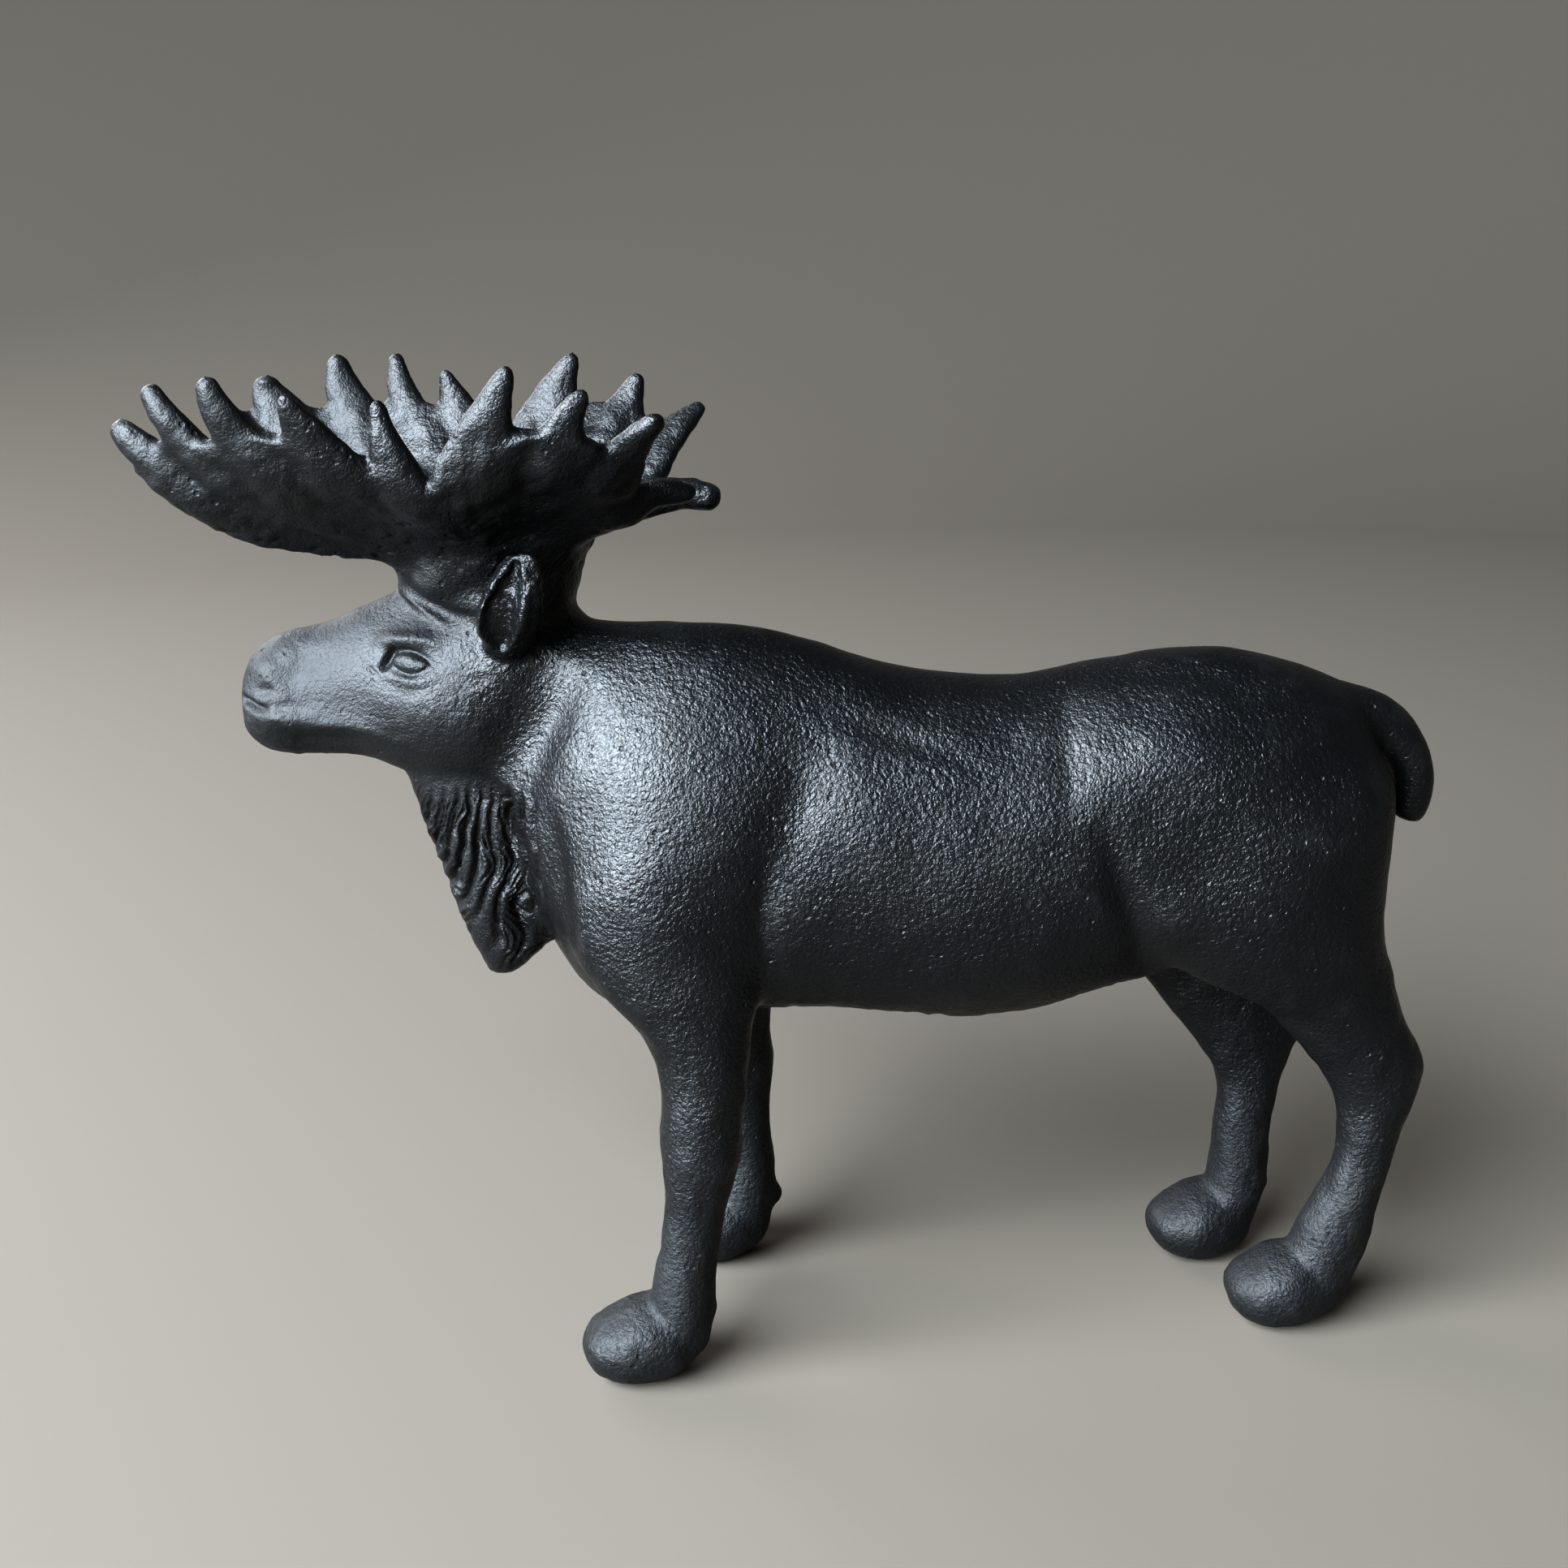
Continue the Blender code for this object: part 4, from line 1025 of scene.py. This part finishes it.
def blackPaint():
    material = bpy.data.materials.new("blackPaint")
    material.use_nodes = True
    nodes, links = material.node_tree.nodes, material.node_tree.links
    shader = nodes["Principled BSDF"]
    place = nodes.new("ShaderNodeTexCoord")

    def noise(scale, detail=2.0, roughness=0.5, distortion=0.0):
        texture = nodes.new("ShaderNodeTexNoise")
        values = {"Scale": scale, "Detail": detail, "Roughness": roughness, "Distortion": distortion}
        setInputs(texture, values)
        links.new(place.outputs["Object"], texture.inputs["Vector"])
        return texture.outputs["Fac"]

    def cells(scale):
        texture = nodes.new("ShaderNodeTexVoronoi")
        setInputs(texture, {"Scale": scale})
        links.new(place.outputs["Object"], texture.inputs["Vector"])
        return texture.outputs["Distance"]

    def combined(operation, a, b):
        step = nodes.new("ShaderNodeMath")
        step.operation = operation
        for socket, value in zip(step.inputs, (a, b)):
            if isinstance(value, (int, float)):
                socket.default_value = value
            else:
                links.new(value, socket)
        return step.outputs[0]

    def plus(a, b):
        return combined("ADD", a, b)

    def minus(a, b):
        return combined("SUBTRACT", a, b)

    def times(a, b):
        return combined("MULTIPLY", a, b)

    def spread(value, low, high, toLow=0.0, toHigh=1.0):
        step = nodes.new("ShaderNodeMapRange")
        step.interpolation_type = "SMOOTHSTEP"
        setInputs(step, {"From Min": low, "From Max": high, "To Min": toLow, "To Max": toHigh})
        links.new(value, step.inputs["Value"])
        return step.outputs["Result"]

    def mixed(share, a, b):
        step = nodes.new("ShaderNodeMix")
        step.data_type = "RGBA"
        links.new(share, step.inputs["Factor"])
        for socket, value in ((step.inputs["A"], a), (step.inputs["B"], b)):
            if isinstance(value, tuple):
                socket.default_value = (*value, 1)
            else:
                links.new(value, socket)
        return step.outputs["Result"]

    def attribute(name):
        found = nodes.new("ShaderNodeAttribute")
        found.attribute_name = name
        return found.outputs["Fac"]

    cloud = noise(paint["cloudScale"], detail=3.0)
    patch = noise(paint["patchScale"])
    ridge = attribute("ridge")
    grain = attribute("grain")

    # height of the skin: the peel's noise less its cells, a fine grain, less scattered pits
    peel = noise(paint["peelScale"], roughness=0.55, distortion=1.0)
    peel = minus(peel, times(cells(paint["cellScale"]), paint["cellShare"]))
    pit = spread(cells(paint["pitScale"]), *paint["pitSize"], 1.0, 0.0)
    pit = times(pit, spread(patch, *paint["pitPatches"]))
    height = plus(times(peel, grain), times(noise(paint["grainScale"]), paint["grainShare"]))
    bump = nodes.new("ShaderNodeBump")
    setInputs(bump, {"Strength": 1.0, "Distance": paint["peelHeight"]})
    links.new(minus(height, times(pit, paint["pitShare"])), bump.inputs["Height"])
    links.new(bump.outputs["Normal"], shader.inputs["Normal"])

    # dust in patches and in the hollows, and a painted highlight: a lighter colour on the ridges, in
    # patches, standing in for their bright rims
    dusty = times(spread(cloud, *paint["dustPatches"]), paint["dustShare"])
    dusty = plus(dusty, times(attribute("hollow"), paint["hollowDust"]))
    wear = times(ridge, spread(patch, *paint["wearPatches"]))
    colour = mixed(wear, mixed(dusty, paint["colour"], paint["dust"]), paint["ridgeHighlightColour"])
    links.new(colour, shader.inputs["Base Color"])

    # duller at the hooves, on the face and in the pits, smoother on the ridges
    rough = spread(cloud, *paint["roughPatches"], *paint["roughness"])
    rough = minus(rough, times(ridge, paint["ridgePolish"]))
    rough = plus(rough, times(attribute("shank"), paint["hoofRoughness"]))
    rough = plus(rough, times(minus(1.0, grain), paint["faceRoughness"]))
    links.new(plus(rough, times(pit, paint["pitRoughness"])), shader.inputs["Roughness"])
    setInputs(shader, {"Metallic": 0.0, "IOR": 1.5, "Specular IOR Level": paint["specular"]})
    return material


moose = inScene("mooseCasting", markedForPaint(fitted(figure())))
moose.data.materials.append(blackPaint())
moose.data.shade_smooth()
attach(moose, "root")
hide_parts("moose")
print("moose painted")

studio = {
    "floorRadius": 1.0,
    "bendRadius": 1.2,
    "wallTop": 2.0,
    "floorColour": (0.100, 0.087, 0.072),
    "floorRoughness": 0.8,
    "floorSpecular": 0.2,
    "world": (0.72, 0.78, 0.88),
    "worldStrength": 0.04,
    "aimHeight": 0.1,  # the lights point at this height over the origin
}
# Soft lights: bearing (0 is the viewer's side, negative is the head's), height angle, distance,
# width, height, power, colour. The window lights the near side from the head's end, and the rear
# light gives the back and the far edges a thin sheen.
softLights = {
    "windowLight": (-51, 29, 1.6, 1.6, 1.6, 258, (0.80, 0.90, 1.0)),
    "rearLight": (-132, 28, 1.3, 0.9, 0.6, 13, (0.92, 0.95, 1.0)),
}


def backdrop():
    # a round floor that bends up into a wall: radius and height of the profile, turned about z. The
    # floor's edge comes twice, which keeps the shading of the floor flat up to it
    size = 96
    edge, bend = studio["floorRadius"], studio["bendRadius"]
    t = np.linspace(0, math.pi / 2, 24)
    radius = np.concatenate([[edge / 2, edge], edge + bend * np.sin(t), [edge + bend]])[:, None]
    height = np.concatenate([[0.0, 0.0], bend * (1 - np.cos(t)), [studio["wallTop"]]])[:, None]
    turn = around(size)[None]
    rings = np.stack([radius * np.cos(turn), radius * np.sin(turn), height + 0 * turn], axis=-1)
    faces = quads(len(rings), size)[:, [0, 3, 2, 1]].tolist()
    faces.append(list(range(size)))
    mesh = bpy.data.meshes.new("floor")
    mesh.from_pydata(rings.reshape(-1, 3).tolist(), [], faces)
    mesh.shade_smooth()
    material = bpy.data.materials.new("paleFloor")
    material.use_nodes = True
    shader = material.node_tree.nodes["Principled BSDF"]
    setInputs(shader, {"Base Color": (*studio["floorColour"], 1), "Roughness": studio["floorRoughness"]})
    setInputs(shader, {"Specular IOR Level": studio["floorSpecular"]})
    mesh.materials.append(material)
    inScene("floor", mesh)


def softLight(name, bearing, rise, distance, wide, high, power, colour):
    lamp = bpy.data.lights.new(name, "AREA")
    lamp.shape = "RECTANGLE"
    lamp.size = wide
    lamp.size_y = high
    lamp.energy = power
    lamp.color = colour
    turn, up = math.radians(bearing), math.radians(rise)
    way = Vector((math.sin(turn) * math.cos(up), -math.cos(turn) * math.cos(up), math.sin(up)))
    light = inScene(name, lamp)
    light.location = way * distance + Vector((0, 0, studio["aimHeight"]))
    light.rotation_euler = (-way).to_track_quat("-Z", "Y").to_euler()


backdrop()
for name, row in softLights.items():
    softLight(name, *row)
world = bpy.data.worlds.new("studio")
world.use_nodes = True
sky = {"Color": (*studio["world"], 1), "Strength": studio["worldStrength"]}
setInputs(world.node_tree.nodes["Background"], sky)
bpy.context.scene.world = world
bpy.context.scene.view_settings.view_transform = "Standard"
bpy.context.scene.view_settings.look = "High Contrast"  # the photograph's tone curve
print("lights and floor set")

photoView = {
    "place": (-0.015957, -0.373539, 0.229470),
    "right": (0.998757, -0.037883, -0.032392),
    "up": (0.042099, 0.293257, 0.955106),
    "forward": (0.026683, 0.955283, -0.294488),
    "sensor": 36.0,
    "focalPixels": 2370,
    "picturePixels": 1932,
    "seen": (0.01, 50),  # the nearest and farthest that it shows
}


def camera():
    lens = bpy.data.cameras.new("camera")
    lens.sensor_width = photoView["sensor"]
    lens.lens = photoView["sensor"] * photoView["focalPixels"] / photoView["picturePixels"]
    lens.clip_start, lens.clip_end = photoView["seen"]
    placed = inScene("camera", lens)
    turned = np.array([photoView["right"], photoView["up"], [-part for part in photoView["forward"]]]).T
    matrix = Matrix(turned.tolist()).to_4x4()
    matrix.translation = photoView["place"]
    placed.matrix_world = matrix
    bpy.context.scene.camera = placed


camera()
